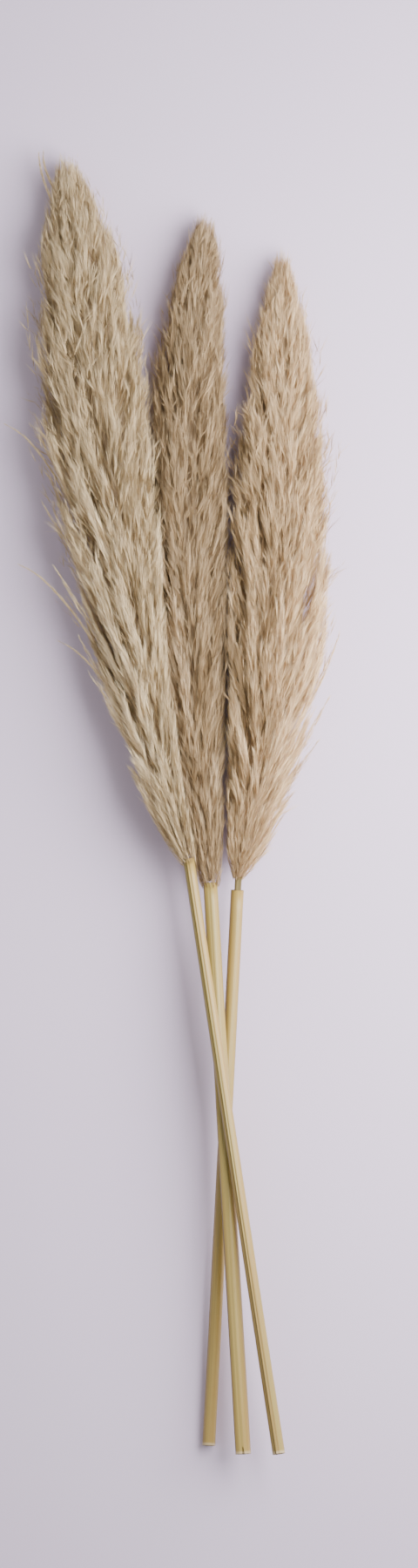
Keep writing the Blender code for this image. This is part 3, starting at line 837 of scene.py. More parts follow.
def stray_strands(stalk, stray, draw):
    """A loose branch that flicks outwards, or a whisker, as a few strands side by side."""
    root, bend, tip, height, radius = stray
    foot = stalk.rachis_point(root)
    bend = Vector((*bend, (foot.z + height) / 2 + 0.006))
    tip = Vector((*tip, height))
    kind = STRAY_KINDS[radius]
    made = []
    for _ in range(kind["strands"]):
        shift = Vector([draw.uniform(-1, 1) * kind["apart"] * radius for _ in range(3)])
        line = []
        for i in range(STRAND_POINTS):
            share = i / (STRAND_POINTS - 1)
            u = kind["start"] + (1 - kind["start"]) * share
            middle = (1 - u) ** 2 * foot + 2 * u * (1 - u) * bend + u**2 * tip
            point = stalk.pressed(middle + shift * math.sin(math.pi * u), STRAND_ROOM)
            away = (middle - stalk.rachis_point(root + 0.1 * u)).normalized()
            full, density = kind["full"] * (1 - 0.5 * share**2), 0.9 - kind["sparser"] * share
            line.append(Spot(point, full, density, kind["width"], kind["flare"], kind["tone"], away))
        made.append(line)
    return made


# %% The plume's lining and skirt
LINING = 22  # strands laid side by side round the plume's dense middle
LINING_POINTS = 24
LINING_DEPTH = 0.46  # where they lie, as a share of the plume's radius
LINING_FROM, LINING_LENGTH = -0.004, 0.986  # along the rachis
SKIRT = 0.010  # how far the plume's foot reaches back over its stem, as a share of the plume
SKIRT_STRANDS = 150


def lining_strand(stalk, index, draw):
    """A strand that runs along the plume's dense middle, from its foot almost to its tip."""
    angle = 2 * math.pi * (index + draw.uniform(-0.4, 0.4)) / LINING
    twist = draw.uniform(-0.5, 0.5)
    made = []
    for i in range(LINING_POINTS):
        t = LINING_FROM + LINING_LENGTH * i / (LINING_POINTS - 1)
        centre, side, up = stalk.rachis_frame(t)
        turned = angle + twist * t
        outward = math.cos(turned) * side + math.sin(turned) * up
        opened = min(t / 0.05, 1)
        reach = (1 - opened) * CULM_RADIUS + opened * LINING_DEPTH * stalk.plume_radius(t)
        point = stalk.pressed(centre + reach * outward, STRAND_ROOM)
        foot = min(1, 0.4 + 0.6 * t / 0.16)
        # painted shade: the lining lies deep in the plume, so its tone is darker than the locks'
        tone = 0.36 + 0.12 * t + 0.10 * math.sin(9 * t + index)
        made.append(Spot(point, 1.25 * foot, 0.80, 1.7, 1.0, tone, outward.normalized()))
    return made


def skirt_strand(stalk, draw):
    """A short strand at the plume's foot, whose first hairs lie over the end of the stem."""
    turned = draw.uniform(0, 2 * math.pi)
    low, high = draw.uniform(-SKIRT, 0.006), draw.uniform(0.03, 0.13)
    inner = draw.uniform(0.45, 1.0) if low > 0 else 1.0
    spread = draw.uniform(0.45, 0.92)
    tone = draw.uniform(0.20, 0.55)
    made = []
    for i in range(STRAND_POINTS):
        share = i / (STRAND_POINTS - 1)
        t = low + (high - low) * share
        centre, side, up = stalk.rachis_frame(t)
        outward = math.cos(turned) * side + math.sin(turned) * up / FLATTENED
        reach = stalk.spec["skirt"] * inner * (1 - share)
        reach += spread * share**0.8 * stalk.plume_radius(high)
        point = stalk.pressed(centre + reach * outward, STRAND_ROOM)
        made.append(Spot(point, 0.42 + 0.35 * share, 1.0, 1.0, 1.0, tone, outward.normalized()))
    return made


# %% Every strand of a plume
STRANDS_IN_LOCK = 9
FILLERS = 1.9  # fillers for each lock
WISPS = 5.5  # sparse wisps that stand out of the plume, for each lock
FLICKS = 0.10  # the share of wisps that flick out further, at the sides
PALER_UP_TO = 0.7  # of the plume, from its foot


def paler_on_side(stalk, lock):
    """How much paler a lock is on one side, most at the plume's foot: painted light on the right plume."""
    toward, paleness = stalk.spec["paler_side"]
    facing = max(math.cos(lock["angle"] - toward), 0)
    return paleness * facing * max(1 - lock["root"] / PALER_UP_TO, 0)


def lock_strands(stalk, locks, draw):
    """Several strands for each lock. Low down, every sixth lock is longer, stands out and is paler."""
    for index, lock in enumerate(locks):
        size = lock_size(stalk, lock)
        contrast = 1.4 if lock["root"] < 0.4 else 1.0
        # painted shade: locks in the inner layers are darker than the outermost ones
        lock_tone = (0.60 if lock["depth"] > 0.95 else 0.50) + contrast * draw.uniform(-0.27, 0.26)
        # painted light on the right plume's side that faces the key panel
        lock_tone += paler_on_side(stalk, lock)
        first = 0.0 if lock["root"] < LOW_ROOT else STRAND_ROOT
        if index % 6 == 0 and lock["root"] < 0.6:
            lock["span"] *= 1.3
            lock["depth"] *= 1.07
            lock_tone += 0.16
        for _ in range(STRANDS_IN_LOCK):
            tone = lock_tone + draw.uniform(-0.08, 0.08)
            yield strand(stalk, lock, size, tone, draw, first)


def filler_strands(stalk, locks, draw):
    """Pairs of coarse strands between the locks, shorter and nearer the middle than theirs."""
    for _ in range(int(FILLERS * len(locks))):
        lock = dict(locks[int(len(locks) * draw.random() ** 0.75)])
        lock["angle"] += draw.uniform(0.3, 2 * math.pi - 0.3)
        lock["span"] *= draw.uniform(0.5, 0.8)
        lock["depth"] *= draw.uniform(0.66, 0.94)
        # painted shade: fillers lie deeper than the locks, so their tone is darker
        tone = 0.38 + 0.12 * lock["root"] + draw.uniform(-0.14, 0.14)
        for _ in range(2):
            yield strand(stalk, lock, lock_size(stalk, lock), tone, draw, width=1.6)


def wisp_strands(stalk, locks, draw):
    """Sparse strands of fine hair that stand out of the plume, less so on its top."""
    for _ in range(int(WISPS * len(locks))):
        lock = dict(locks[int(len(locks) * draw.random() ** 0.7)])
        lock["angle"] += draw.uniform(-0.4, 0.4)
        reach = 1.04 + 0.28 * min(lock["root"] / 0.5, 1) - 0.20 * max(math.sin(lock["angle"]), 0)
        lock["depth"] *= draw.uniform(0.92, reach)
        if draw.random() < FLICKS and math.sin(lock["angle"]) < 0.5:
            lock["depth"] *= draw.uniform(1.08, 1.26)
        tone = 0.75 + 0.3 * paler_on_side(stalk, lock) + draw.uniform(-0.1, 0.1)
        yield strand(
            stalk, lock, 1.6 * lock_size(stalk, lock), tone, draw,
            first=0.4, density=0.5, width=0.68, flare=4.2,
        )


def plume_strands(stalk):
    """Every strand of a plume."""
    draw = random.Random(stalk.spec["seed"] + 100)
    locks = lock_rule(stalk)
    made = [lining_strand(stalk, index, draw) for index in range(LINING)]
    made += [skirt_strand(stalk, draw) for _ in range(SKIRT_STRANDS)]
    for grow in (lock_strands, filler_strands, wisp_strands):
        made += grow(stalk, locks, draw)
    for stray in STRAYS[stalk.name]:
        made += stray_strands(stalk, stray, draw)
    return made


# %% Strands as edges
def clothed_length(line):
    """The length of a strand, counted by how closely its hairs are set."""
    return sum((b.place - a.place).length * a.density for a, b in zip(line, line[1:]))


def strands_object(name, strands):
    """The strands as bare edges with their values at each point."""
    spots = [spot for line in strands for spot in line]
    edges, alongs, first = [], [], 0
    for line in strands:
        edges += [(first + i, first + i + 1) for i in range(len(line) - 1)]
        first += len(line)
        for i in range(len(line)):
            low, high = line[max(i - 1, 0)], line[min(i + 1, len(line) - 1)]
            alongs.append((high.place - low.place).normalized())
    mesh = bpy.data.meshes.new(name)
    mesh.from_pydata([spot.place for spot in spots], edges, [])
    for title in BRANCH_VALUES:
        values = [getattr(spot, title) for spot in spots]
        mesh.attributes.new(title, "FLOAT", "POINT").data.foreach_set("value", values)
    for title, ways in zip(BRANCH_WAYS, ([spot.outward for spot in spots], alongs)):
        flat = np.array(ways, np.float32).ravel()
        mesh.attributes.new(title, "FLOAT_VECTOR", "POINT").data.foreach_set("vector", flat)
    return add_object(name, mesh)


# %% Grow the plumes
HAIRS_IN_PLUME = {"right": 278000, "middle": 229000, "left": 345000}  # and a few at strands' ends
HALVES = ("lower", "upper")

for name, stalk in stalks.items():
    strands = plume_strands(stalk)
    strands.sort(key=lambda line: line[0].place.y)
    so_far = np.cumsum([clothed_length(line) for line in strands])
    spacing = float(so_far[-1]) * HAIRS_IN_SPIKELET / HAIRS_IN_PLUME[name]
    halfway = 1 + int(np.argmax(so_far > so_far[-1] / 2))
    for half, chosen in zip(HALVES, (strands[:halfway], strands[halfway:])):
        guide = strands_object(f"guide_{name}_{half}", chosen)
        mesh = apply_tree(guide, grow_spikelets, {
            "Spacing": spacing, "Seed": stalk.spec["seed"], "Spikelets": spikelets,
            "Finish": silks[name],
        })
        bpy.data.objects.remove(guide)
        mesh.name = f"plume_{name}_{half}"
        plume = add_object(mesh.name, mesh)
        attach(plume, "root")
        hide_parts(f"plume_{name}")
        print(plume.name, "strands", len(chosen), "triangles", len(mesh.polygons))
    print("a spikelet every", round(spacing * 1000, 2), "mm of strand")

for shape in list(spikelets.objects):
    bpy.data.objects.remove(shape)
bpy.data.collections.remove(spikelets)

# %% [markdown]
# ## The plume's dense middle
#
# Behind the outer locks a plume is packed with the lower parts of its branches. Growing those hair
# by hair would waste most of the triangles where nobody looks. One drawn-out body with lengthwise
# ridges fills the middle, in the brown of hair roots darkened further as painted shade of the
# plume's depths, so that no gap between locks shows the table.

# %% Silk of the middle
def make_middle_painted_shade():
    """Brown streaks along the plume, dark as painted shade of its depths, and darker towards its foot."""
    silk, shader = plain_material("middle_silk", 0.75)
    tree = silk.node_tree
    own_map = out(add(tree, "ShaderNodeUVMap", uv_map="along_plume"))
    stretched = out(add(tree, "ShaderNodeMapping", {"Vector": own_map, "Scale": (110, 16, 1)}))
    values = {"Vector": stretched, "Scale": 1.0, "Detail": 6.0, "Roughness": 0.7}
    streaks = out(add(tree, "ShaderNodeTexNoise", values), "Fac")
    # painted shade: darker than hair roots, for the shade deep inside the plume
    colour = ramp(tree, streaks, [(0.3, (0.20, 0.130, 0.066)), (0.7, (0.42, 0.31, 0.185))])
    up_plume = out(map_parts(tree, "along_plume"), "Y")
    foot = ramp(tree, up_plume, [(0.0, (0.45, 0.42, 0.38)), (0.35, (1.0, 1.0, 1.0))])
    feed(tree, shader.inputs["Base Color"], mix(tree, 1.0, colour, foot, "MULTIPLY"))
    return silk


middle_silk = make_middle_painted_shade()
print("silk of the middle:", middle_silk.name)

# %% The middle of each plume
MIDDLE_SHARE = 0.44  # its radius, as a share of the plume's
MIDDLE_RINGS, MIDDLE_SIDES = 60, 40
MIDDLE_FROM, MIDDLE_LENGTH = 0.0006, 0.9894  # along the rachis
MIDDLE_ROOM = 0.002  # that it keeps to the table and to the neighbours' borders
RIDGE_WAVES, RIDGE_DEPTH = 7, 0.045


def finished(work, name, material):
    """The worked mesh as an object of one material in the scene."""
    mesh = bpy.data.meshes.new(name)
    work.to_mesh(mesh)
    work.free()
    mesh.materials.append(material)
    return add_object(name, mesh)


def middle_rings(stalk, work):
    """The rings of vertices of a plume's middle, each ridged, and one vertex at each end."""
    draw = random.Random(stalk.spec["seed"] + 7)
    waves = [
        (draw.randint(5, 17), draw.uniform(0, 6.28), draw.uniform(-9, 9), draw.uniform(-14, 14))
        for _ in range(RIDGE_WAVES)
    ]
    for i in range(MIDDLE_RINGS + 1):
        t = MIDDLE_FROM + MIDDLE_LENGTH * (i / MIDDLE_RINGS) ** 1.15
        centre, side, up = stalk.rachis_frame(t)
        full = MIDDLE_SHARE * stalk.plume_radius(t)
        radius = CULM_RADIUS + (full - CULM_RADIUS) * min(t / 0.07, 1)
        at_end = i in (0, MIDDLE_RINGS)
        ring = []
        for k in range(1 if at_end else MIDDLE_SIDES):
            angle = 2 * math.pi * k / MIDDLE_SIDES
            ridge = sum(
                math.sin(count * angle + phase + twist * t + 2 * math.sin(bend * t))
                for count, phase, twist, bend in waves
            )
            reach = 0.0 if at_end else radius * (1 + RIDGE_DEPTH * ridge)
            point = centre + reach * (math.cos(angle) * side + math.sin(angle) * up)
            ring.append(work.verts.new(stalk.pressed(point, MIDDLE_ROOM)))
        yield ring


def make_middle(stalk):
    """The drawn-out ridged body inside a plume, with its own map."""
    work = bmesh.new()
    layer = work.loops.layers.uv.new("along_plume")
    rings = list(middle_rings(stalk, work))
    for i, (low, high) in enumerate(zip(rings, rings[1:])):
        for k in range(MIDDLE_SIDES):
            corners = [(low, k, i), (low, k + 1, i), (high, k + 1, i + 1), (high, k, i + 1)]
            if len(low) == 1:
                corners.pop(1)
            if len(high) == 1:
                corners.pop(2)
            face = work.faces.new([ring[step % len(ring)] for ring, step, _ in corners])
            face.smooth = True
            for loop, (_, step, row) in zip(face.loops, corners):
                loop[layer].uv = (step / MIDDLE_SIDES, row / MIDDLE_RINGS)
    if work.calc_volume(signed=True) < 0:
        bmesh.ops.reverse_faces(work, faces=work.faces)
    return finished(work, f"plume_{stalk.name}_middle", middle_silk)


for name, stalk in stalks.items():
    body = make_middle(stalk)
    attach(body, "root")
    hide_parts(f"plume_{name}")
    print(body.name, "faces", len(body.data.polygons))

# %% [markdown]
# ## The stems' finish
#
# Dry grass stems are straw yellow with lengthwise bands of olive and tan, fine pale fibres and a
# satin skin. The cut edge has gone brown. All of it follows the stem, so it reads the piece's own
# map, where x runs round the stem and y along it. Sheaths and culms share one group for the
# fibres. A second group paints shade as a lengthwise band: a shadow beside a margin, shade in a
# crease, and a broad band of shade down each stem's left side.

# %% Shared groups
FIBRE_RELIEF = 0.0002


def fibre_group():
    """Lengthwise streaks on a stem's own map."""
    tree, given = start_tree(
        "fibre_streaks", "ShaderNodeTree",
        [
            ("Across", "NodeSocketFloat", 40.0), ("Along", "NodeSocketFloat", 2.0),
            ("Offset", "NodeSocketFloat", 0.0),
        ],
        ("Value", "NodeSocketFloat"),
    )
    values = {"X": out(given, "Across"), "Y": out(given, "Along"), "Z": 1.0}
    scale = out(add(tree, "ShaderNodeCombineXYZ", values))
    values = {"X": out(given, "Offset"), "Y": out(given, "Offset"), "Z": 0.0}
    shift = out(add(tree, "ShaderNodeCombineXYZ", values))
    own_map = out(add(tree, "ShaderNodeUVMap", uv_map="OFBake"))
    values = {"Vector": own_map, "Scale": scale, "Location": shift}
    spread = out(add(tree, "ShaderNodeMapping", values))
    values = {"Vector": spread, "Scale": 1.0, "Detail": 4.0, "Roughness": 0.6}
    return end_tree(tree, out(add(tree, "ShaderNodeTexNoise", values), "Fac"))


def line_group():
    """A thin wandering lengthwise line on a stem's own map, 1 in its middle."""
    tree, given = start_tree(
        "lengthwise_line", "ShaderNodeTree",
        [
            ("Place", "NodeSocketFloat", 0.5), ("Width", "NodeSocketFloat", 0.01),
            ("Wander", "NodeSocketFloat", 0.01),
        ],
        ("Value", "NodeSocketFloat"),
    )
    parts = map_parts(tree)
    values = {"W": out(parts, "Y"), "Scale": 7.0, "Detail": 2.0}
    sway = out(add(tree, "ShaderNodeTexNoise", values, noise_dimensions="1D"), "Fac")
    sway = maths(tree, "MULTIPLY", maths(tree, "SUBTRACT", sway, 0.5), out(given, "Wander"))
    off = maths(tree, "SUBTRACT", maths(tree, "SUBTRACT", out(parts, "X"), out(given, "Place")), sway)
    near = maths(tree, "DIVIDE", maths(tree, "ABSOLUTE", off), out(given, "Width"))
    return end_tree(tree, maths(tree, "MAXIMUM", maths(tree, "SUBTRACT", 1.0, near), 0.0))


fibre_streaks, lengthwise_line = fibre_group(), line_group()


def roughen(tree, shader, fibres, low, high):
    """Fibres in the gloss, from one roughness to another, and as a fine relief."""
    values = {"Value": fibres, "To Min": low, "To Max": high}
    feed(tree, shader.inputs["Roughness"], out(add(tree, "ShaderNodeMapRange", values)))
    values = {"Height": fibres, "Strength": 0.6, "Distance": FIBRE_RELIEF}
    feed(tree, shader.inputs["Normal"], out(add(tree, "ShaderNodeBump", values)))


print("groups for stems:", fibre_streaks.name, lengthwise_line.name)

# %% Straw
OUTSIDE = (0.02, 0.66)  # where a sheath's outer face lies on its map, from margin to margin
INSIDE = (0.70, 0.94)
MARGIN_ON_MAP = OUTSIDE[0] + (OUTSIDE[1] - OUTSIDE[0]) * SHEATH_OVERLAP / SHEATH_SWEEP
# painted shadow: the dark line just beyond the outer margin
MARGIN_SHADOW = MARGIN_ON_MAP + 0.006  # where the dark line beside the outer margin lies
TAN_PATCH, PAINTED_SHADE_COLOUR = (0.36, 0.275, 0.085), (0.13, 0.085, 0.030)
PALE_RIM, BROWN_EDGE = (0.66, 0.53, 0.34), (0.11, 0.065, 0.030)


def on_map(name, degrees):
    """Where the sheath's side that faces this way, up from the stem's right, lies on its map."""
    angle = math.radians(degrees - STALKS[name]["sheath_turn"]) % (2 * math.pi)
    angle += 2 * math.pi * (angle < SHEATH_OVERLAP)
    return OUTSIDE[0] + (OUTSIDE[1] - OUTSIDE[0]) * angle / SHEATH_SWEEP


def make_straw(name, offset, olive, lines):
    """A sheath's skin: bands, fibres, painted shade at margins, creases and sides, and brown cut edges."""
    straw, shader = plain_material(name, 0.42)
    tree = straw.node_tree
    bands = use_group(tree, fibre_streaks, Across=9.0, Along=0.9, Offset=offset)
    colour = ramp(tree, bands, [
        (0.32, (0.305 - 0.04 * olive, 0.212, 0.056)), (0.45, (0.39 - 0.04 * olive, 0.272, 0.072)),
        (0.56, (0.375, 0.245, 0.066)), (0.68, (0.465, 0.330, 0.106)),
    ])
    patches = use_group(tree, fibre_streaks, Across=2.5, Along=5.0, Offset=offset + 3)
    colour = mix(tree, mask(tree, patches, (0.42, 0), (0.66, 0.5)), colour, TAN_PATCH)
    fibres = use_group(tree, fibre_streaks, Across=150.0, Along=3.0, Offset=offset + 7)
    lit = ramp(tree, fibres, [(0.3, (0.84, 0.83, 0.79)), (0.7, (1.06, 1.06, 1.07))])
    colour = mix(tree, 1.0, colour, lit, "MULTIPLY")
    # painted shade in lines: beside the margin, in a crease, and a broad band down the stem's left side
    for place, width, strength in lines:
        line = use_group(tree, lengthwise_line, Place=place, Width=width, Wander=0.012)
        colour = mix(tree, maths(tree, "MULTIPLY", line, strength), colour, PAINTED_SHADE_COLOUR)
    along = out(map_parts(tree), "Y")
    colour = mix(tree, mask(tree, along, (0.0150, 0.75), (0.0172, 0)), colour, PALE_RIM)
    browned = mask(tree, along, (0.0092, 0.9), (0.0112, 0), (0.985, 0), (0.989, 0.5))
    feed(tree, shader.inputs["Base Color"], mix(tree, browned, colour, BROWN_EDGE))
    roughen(tree, shader, fibres, 0.34, 0.52)
    shader.inputs["Coat Weight"].default_value = 0.08
    return straw


# Painted shade: the margin's shadow, a crease on the left stem, and a broad band down each left side
straws = {
    "left": make_straw("straw_left", offset=0.0, olive=1.0, lines=[
        (MARGIN_SHADOW, 0.014, 0.9), (on_map("left", 93), 0.010, 0.5), (on_map("left", 185), 0.11, 0.5),
    ]),
    "middle": make_straw("straw_middle", offset=11.0, olive=0.6, lines=[
        (MARGIN_SHADOW, 0.010, 0.7), (on_map("middle", 175), 0.15, 0.7),
    ]),
    "right": make_straw("straw_right", offset=23.0, olive=0.0, lines=[
        (MARGIN_SHADOW, 0.010, 0.7), (on_map("right", 185), 0.11, 0.5),
    ]),
}
print("straws:", [straw.name for straw in straws.values()])

# %% Pith
WALL_ON_MAP = 0.16  # a culm's wall lies above this on its map, and its ends below
# painted shade: pith browns darkened to stand for the shade in the sunk ends
PITH_IN_PAINTED_SHADE = [(0.12, (0.04, 0.024, 0.013)), (0.30, (0.09, 0.058, 0.030)), (0.8, (0.14, 0.095, 0.052))]


def make_pith():
    """A culm's olive brown wall, and ends of brown pith darkened as painted shade, with darker vessel
    dots.
    """
    pith, shader = plain_material("culm_and_pith", 0.6)
    shader.inputs["Specular IOR Level"].default_value = 0.1
    tree = pith.node_tree
    bands = use_group(tree, fibre_streaks, Across=12.0, Along=1.5, Offset=2.0)
    wall_colour = ramp(tree, bands, [(0.35, (0.125, 0.100, 0.042)), (0.62, (0.24, 0.190, 0.085))])
    own_map = out(add(tree, "ShaderNodeUVMap", uv_map="OFBake"))
    vessels = add(tree, "ShaderNodeTexVoronoi", {"Vector": own_map, "Scale": 95.0})
    shaded_pith_colour = ramp(tree, out(vessels, "Distance"), PITH_IN_PAINTED_SHADE)
    up_map = out(add(tree, "ShaderNodeSeparateXYZ", {"Vector": own_map}), "Y")
    on_end = maths(tree, "LESS_THAN", up_map, WALL_ON_MAP - 0.01)
    feed(tree, shader.inputs["Base Color"], mix(tree, on_end, wall_colour, shaded_pith_colour))
    fibres = use_group(tree, fibre_streaks, Across=90.0, Along=3.0, Offset=5.0)
    roughen(tree, shader, fibres, 0.5, 0.7)
    return pith


pith = make_pith()
print("pith:", pith.name)

# %% [markdown]
# ## The rolled sheaths
#
# A leaf sheath is a strip of dry leaf rolled once round the culm with one margin lying over the
# other. Its outer face has fine ribs, where the veins run. The strip is swept from the cut end to
# the plume as one closed mesh with two faces, two margins and two cut edges. Drying opens pointed
# splits at the cut end: there the strip is parted, and its two sides are drawn back to leave a
# wedge.

# %% The strip's shape
CUT_TILT = 0.0022  # how much further the underside of a stem reaches than its top, where it was cut
TILTED = 0.012  # how far up the stem that is evened out
VEINS, VEIN_DEPTH = 34, 0.00009  # how many ribs a full turn of the roll has, and their depth
WAVE_DEPTH = 0.00006  # of the shallow waves that cross them
INNER, OUTER = 0, 1  # the strip's two faces
STEPS = {INNER: 36, OUTER: 108}  # round them
STATIONS = 40
SPLITS = {  # angle up from the stem's right side, width and length
    "left": (math.radians(116), 0.0017, 0.0090),
    "middle": (math.radians(88), 0.0020, 0.0105),
    "right": None,
}
CREASES = {  # angle, depth and half width of lengthwise grooves
    "left": [(math.radians(93), 0.00045, 0.10), (math.radians(128), 0.00030, 0.12)],
    "middle": [(math.radians(100), 0.00025, 0.14), (math.radians(55), 0.00020, 0.2)],
    "right": [(math.radians(75), 0.00020, 0.18)],
}


def sheath_point(stalk, angle, along, share):
    """A point of the rolled strip: the angle rolled so far, and 0 at its inner face, 1 at its outer."""
    facing = angle + math.radians(stalk.spec["sheath_turn"])
    radius = SHEATH_BORE + SHEATH_RISE * angle + SHEATH_WALL * share
    vein = 0.5 + 0.5 * math.sin(VEINS * angle + 3 * math.sin(9 * along))
    sunk = VEIN_DEPTH * vein + WAVE_DEPTH * (1 + math.sin(3 * angle + 25 * along))
    for place, depth, half in CREASES[stalk.name]:
        apart = (facing - place + math.pi) % (2 * math.pi) - math.pi
        apart += 0.05 * math.sin(14 * along + place)
        sunk += depth * math.exp(-((apart / half) ** 2))
    radius = (radius - sunk * share) * stalk.taper(stalk.spec["sheath_top"], along)
    along += CUT_TILT * (0.5 + 0.5 * math.sin(facing)) * max(1 - along / TILTED, 0)
    return stalk.around_stem(stalk.stem_point(along), radius, facing)


def parted(index, steps, split, along, girth):
    """The angle of a step round the strip, drawn back where the split's wedge is."""
    if split is None:
        return SHEATH_SWEEP * index / steps
    at, width, length = split
    half = max(width / 2 * (1 - along / length), 0) / (girth * (SHEATH_BORE + SHEATH_WALL))
    before = round(steps * at / SHEATH_SWEEP)
    if index <= before:
        return (at - half) * index / before
    return at + half + (SHEATH_SWEEP - at - half) * (index - before - 1) / (steps - before - 1)


print("steps round a sheath:", STEPS[OUTER], "outside,", STEPS[INNER], "inside")


# %% The strip as a mesh
class Strip:
    """A sheath's rolled strip, with its own map, parted where its split is."""

    def __init__(self, stalk):
        self.stalk = stalk
        self.length = stalk.stem_length - stalk.spec["bare_culm"]
        self.split = SPLITS[stalk.name]
        if self.split:
            rolled = (self.split[0] - math.radians(stalk.spec["sheath_turn"])) % (2 * math.pi)
            rolled += 2 * math.pi * (rolled < SHEATH_OVERLAP)
            self.split = (rolled, *self.split[1:])
        self.work = bmesh.new()
        self.layer = self.work.loops.layers.uv.new("OFBake")
        self.made = {}

    def along(self, j):
        """How far a station is from the cut end. They are closer together there."""
        return self.length * (j / STATIONS) ** 1.6

    def before(self, face):
        """The last step before the split."""
        return round(STEPS[face] * self.split[0] / SHEATH_SWEEP) if self.split else -1

    def open_at(self, j):
        """Whether the split is open between this station and the next."""
        return self.split is not None and self.along(j + 1) <= self.split[2] * 1.02

    def spot(self, j, face, k):
        """A vertex at a station, on one face, at a step round it, and its place on the map."""
        along = self.along(j)
        angle = parted(k, STEPS[face], self.split, along, self.stalk.spec["girth"])
        if (j, face, k) not in self.made:
            torn = abs(0.0004 * math.sin(11 * angle) * math.sin(5 * angle) * (j == 0))
            point = sheath_point(self.stalk, angle, along + torn, face)
            self.made[j, face, k] = self.work.verts.new(point)
        first, end = OUTSIDE if face == OUTER else INSIDE
        place = (first + (end - first) * angle / SHEATH_SWEEP, 0.012 + 0.974 * along / self.length)
        return self.made[j, face, k], place

    def face(self, spots, places=None, smooth=True):
        """A face through these spots, on its own part of the map where places are given."""
        face = self.work.faces.new([vert for vert, _ in spots])
        face.smooth = smooth
        for loop, place in zip(face.loops, places or [place for _, place in spots]):
            loop[self.layer].uv = place

    def faces(self):
        """The strip's outer and inner faces."""
        for face in (OUTER, INNER):
            for j in range(STATIONS):
                for k in range(STEPS[face]):
                    if k == self.before(face) and self.open_at(j):
                        continue
                    corners = ((j, k), (j, k + 1), (j + 1, k + 1), (j + 1, k))
                    around = [self.spot(row, face, step) for row, step in corners]
                    self.face(around if face == OUTER else around[::-1])

    def margins(self):
        """The strip's two margins, and the sides of its split."""
        for j in range(STATIONS):
            walls = [(0, 0, 1), (STEPS[INNER], STEPS[OUTER], -1)]
            if self.open_at(j):
                inner, outer = self.before(INNER), self.before(OUTER)
                walls += [(inner, outer, -1), (inner + 1, outer + 1, 1)]
            for inner, outer, way in walls:
                corners = (
                    (j, INNER, inner), (j, OUTER, outer), (j + 1, OUTER, outer), (j + 1, INNER, inner)
                )
                around = [self.spot(*corner) for corner in corners]
                x = around[1][1][0]
                edge = [
                    (x - 0.004 * way * (1 - face), place[1])
                    for (_, face, _), (_, place) in zip(corners, around)
                ]
                self.face(around[::way], edge[::way], smooth=False)

    def cut_edges(self):
        """The strip's edges at the cut end and at the plume."""
        ratio = STEPS[OUTER] // STEPS[INNER]
        inner, outer = self.before(INNER), self.before(OUTER)
        for j, way, level in ((0, -1, 0.006), (STATIONS, 1, 0.992)):
            for k in range(STEPS[INNER]):
                low, high = k * ratio, (k + 1) * ratio
                if self.split and j == 0:
                    if k == inner:
                        continue
                    if k == inner + 1:
                        low = outer + 1
                    elif k < inner:
                        low = min(low, outer)
                    if k + 1 == inner:
                        high = outer
                inside = [self.spot(j, INNER, k), self.spot(j, INNER, k + 1)]
                outside = [self.spot(j, OUTER, step) for step in range(high, low - 1, -1)]
                places = [place[0] for _, place in (outside[-1], outside[0], *outside)]
                edge = [(x, level + 0.003 * (n > 1)) for n, x in enumerate(places)]
                self.face((inside + outside)[::way], edge[::way], smooth=False)


def make_sheath(stalk):
    """A stalk's rolled sheath."""
    strip = Strip(stalk)
    strip.faces()
    strip.margins()
    strip.cut_edges()
    bmesh.ops.recalc_face_normals(strip.work, faces=strip.work.faces)
    return finished(strip.work, f"sheath_{stalk.name}_rolled", straws[stalk.name])


for name, stalk in stalks.items():
    sheath = make_sheath(stalk)
    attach(sheath, "root")
    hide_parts(f"sheath_{name}")
    print(sheath.name, "faces", len(sheath.data.polygons))

# %% [markdown]
# ## The culms
#
# Inside each sheath is the stem itself: a thin hard wall filled with pith, which has dried and shrunk
# back from the cut. Its brown is darkened as painted shade of the sunk end, with its vessels as darker
# dots. It shows at the cut end, and on the right stalk between the sheath's square end and the plume,
# where the wall is olive brown.

# %% Culms
CULM_SIDES, CULM_STATIONS = 40, 14
RIB_DEPTH = 0.012  # of the culm's ribs, as a share of its radius
END_ON_MAP = 0.07  # the radius of an end on the map

# The rings of a sunk end: how wide, as a share of the culm's radius, and how deep.
END_RINGS = ((1.0, 0.0), (0.90, 0.0002), (0.86, 0.0016), (0.78, 0.0050), (0.35, 0.0056))


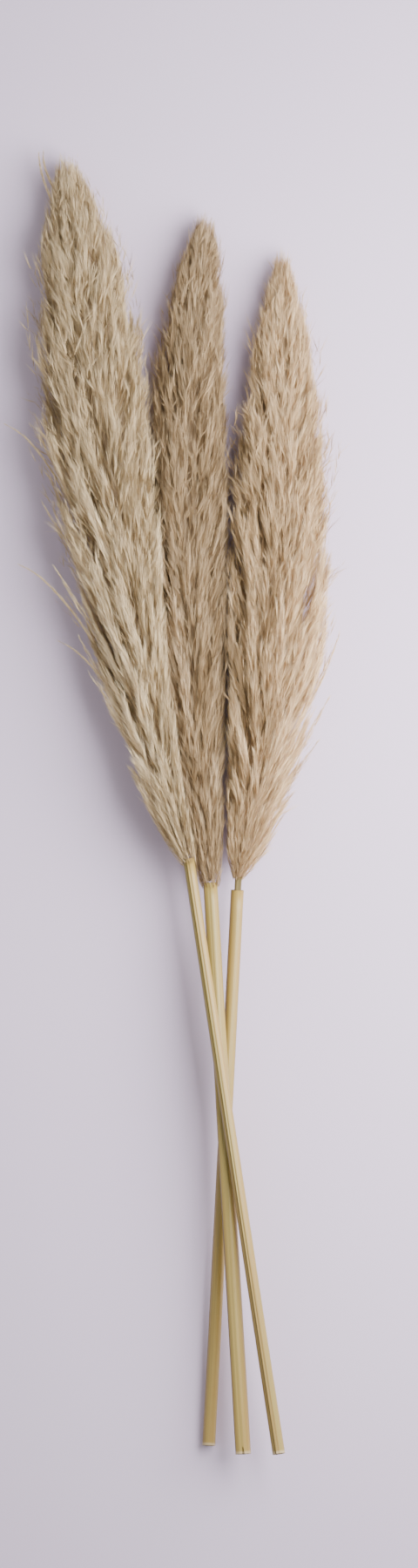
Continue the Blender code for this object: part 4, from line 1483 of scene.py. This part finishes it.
class Culm:
    """A culm's ribbed wall and its two sunk ends of pith."""

    def __init__(self, stalk):
        self.stalk = stalk
        self.length = stalk.stem_length - CLEARANCE
        self.work = bmesh.new()
        self.layer = self.work.loops.layers.uv.new("OFBake")

    def ring(self, along, size):
        """A ring of vertices that far from the cut end, at this share of the culm's radius."""
        made = []
        for k in range(CULM_SIDES):
            angle = 2 * math.pi * k / CULM_SIDES - math.pi / 2
            radius = CULM_RADIUS * self.stalk.taper(CULM_TOP, along) * size * (1 - RIB_DEPTH * (k % 2))
            tilted = CUT_TILT * (0.5 + 0.31 * size * math.sin(angle)) * max(1 - along / TILTED, 0)
            centre = self.stalk.stem_point(along + tilted)
            made.append(self.work.verts.new(self.stalk.around_stem(centre, radius, angle)))
        return made

    def band(self, low, high, place):
        """The faces between two rings, mapped by place(step, which ring)."""
        for k in range(CULM_SIDES):
            after = (k + 1) % CULM_SIDES
            face = self.work.faces.new([low[k], low[after], high[after], high[k]])
            face.smooth = True
            for loop, corner in zip(face.loops, ((k, 0), (k + 1, 0), (k + 1, 1), (k, 1))):
                loop[self.layer].uv = place(*corner)

    def wall(self):
        """The wall's bands, and its first and last ring."""
        rings = [self.ring(self.length * j / CULM_STATIONS, 1) for j in range(CULM_STATIONS + 1)]

        def place(j, step, which):
            up = WALL_ON_MAP + (0.99 - WALL_ON_MAP) * (j + which) / CULM_STATIONS
            return 0.01 + 0.98 * step / CULM_SIDES, up

        for j, (low, high) in enumerate(zip(rings, rings[1:])):
            self.band(low, high, partial(place, j))
        return rings[0], rings[-1]

    def end(self, edge, along, inwards, middle):
        """An end that is sunk inwards from the wall's edge, on its own disc of the map."""
        rings = [edge] + [self.ring(along + inwards * depth, size) for size, depth in END_RINGS[1:]]

        def place(n, step, which):
            angle = 2 * math.pi * step / CULM_SIDES
            reach = END_ON_MAP * END_RINGS[n + which][0]
            return middle + reach * math.cos(angle), 0.075 + reach * math.sin(angle)

        for n, (low, high) in enumerate(zip(rings, rings[1:])):
            self.band(low, high, partial(place, n))
        cap = self.work.faces.new(rings[-1])
        for k, loop in enumerate(cap.loops):
            loop[self.layer].uv = place(len(rings) - 1, k, 0)


def make_culm(stalk):
    """A stalk's culm, with the wall and both ends."""
    culm = Culm(stalk)
    first, last = culm.wall()
    culm.end(first, 0, 1, middle=0.075)
    culm.end(last, culm.length, -1, middle=0.225)
    bmesh.ops.recalc_face_normals(culm.work, faces=culm.work.faces)
    return finished(culm.work, f"culm_{stalk.name}_pithy", pith)


for name, stalk in stalks.items():
    culm = make_culm(stalk)
    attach(culm, "root")
    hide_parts(f"culm_{name}")
    print(culm.name, "faces", len(culm.data.polygons))
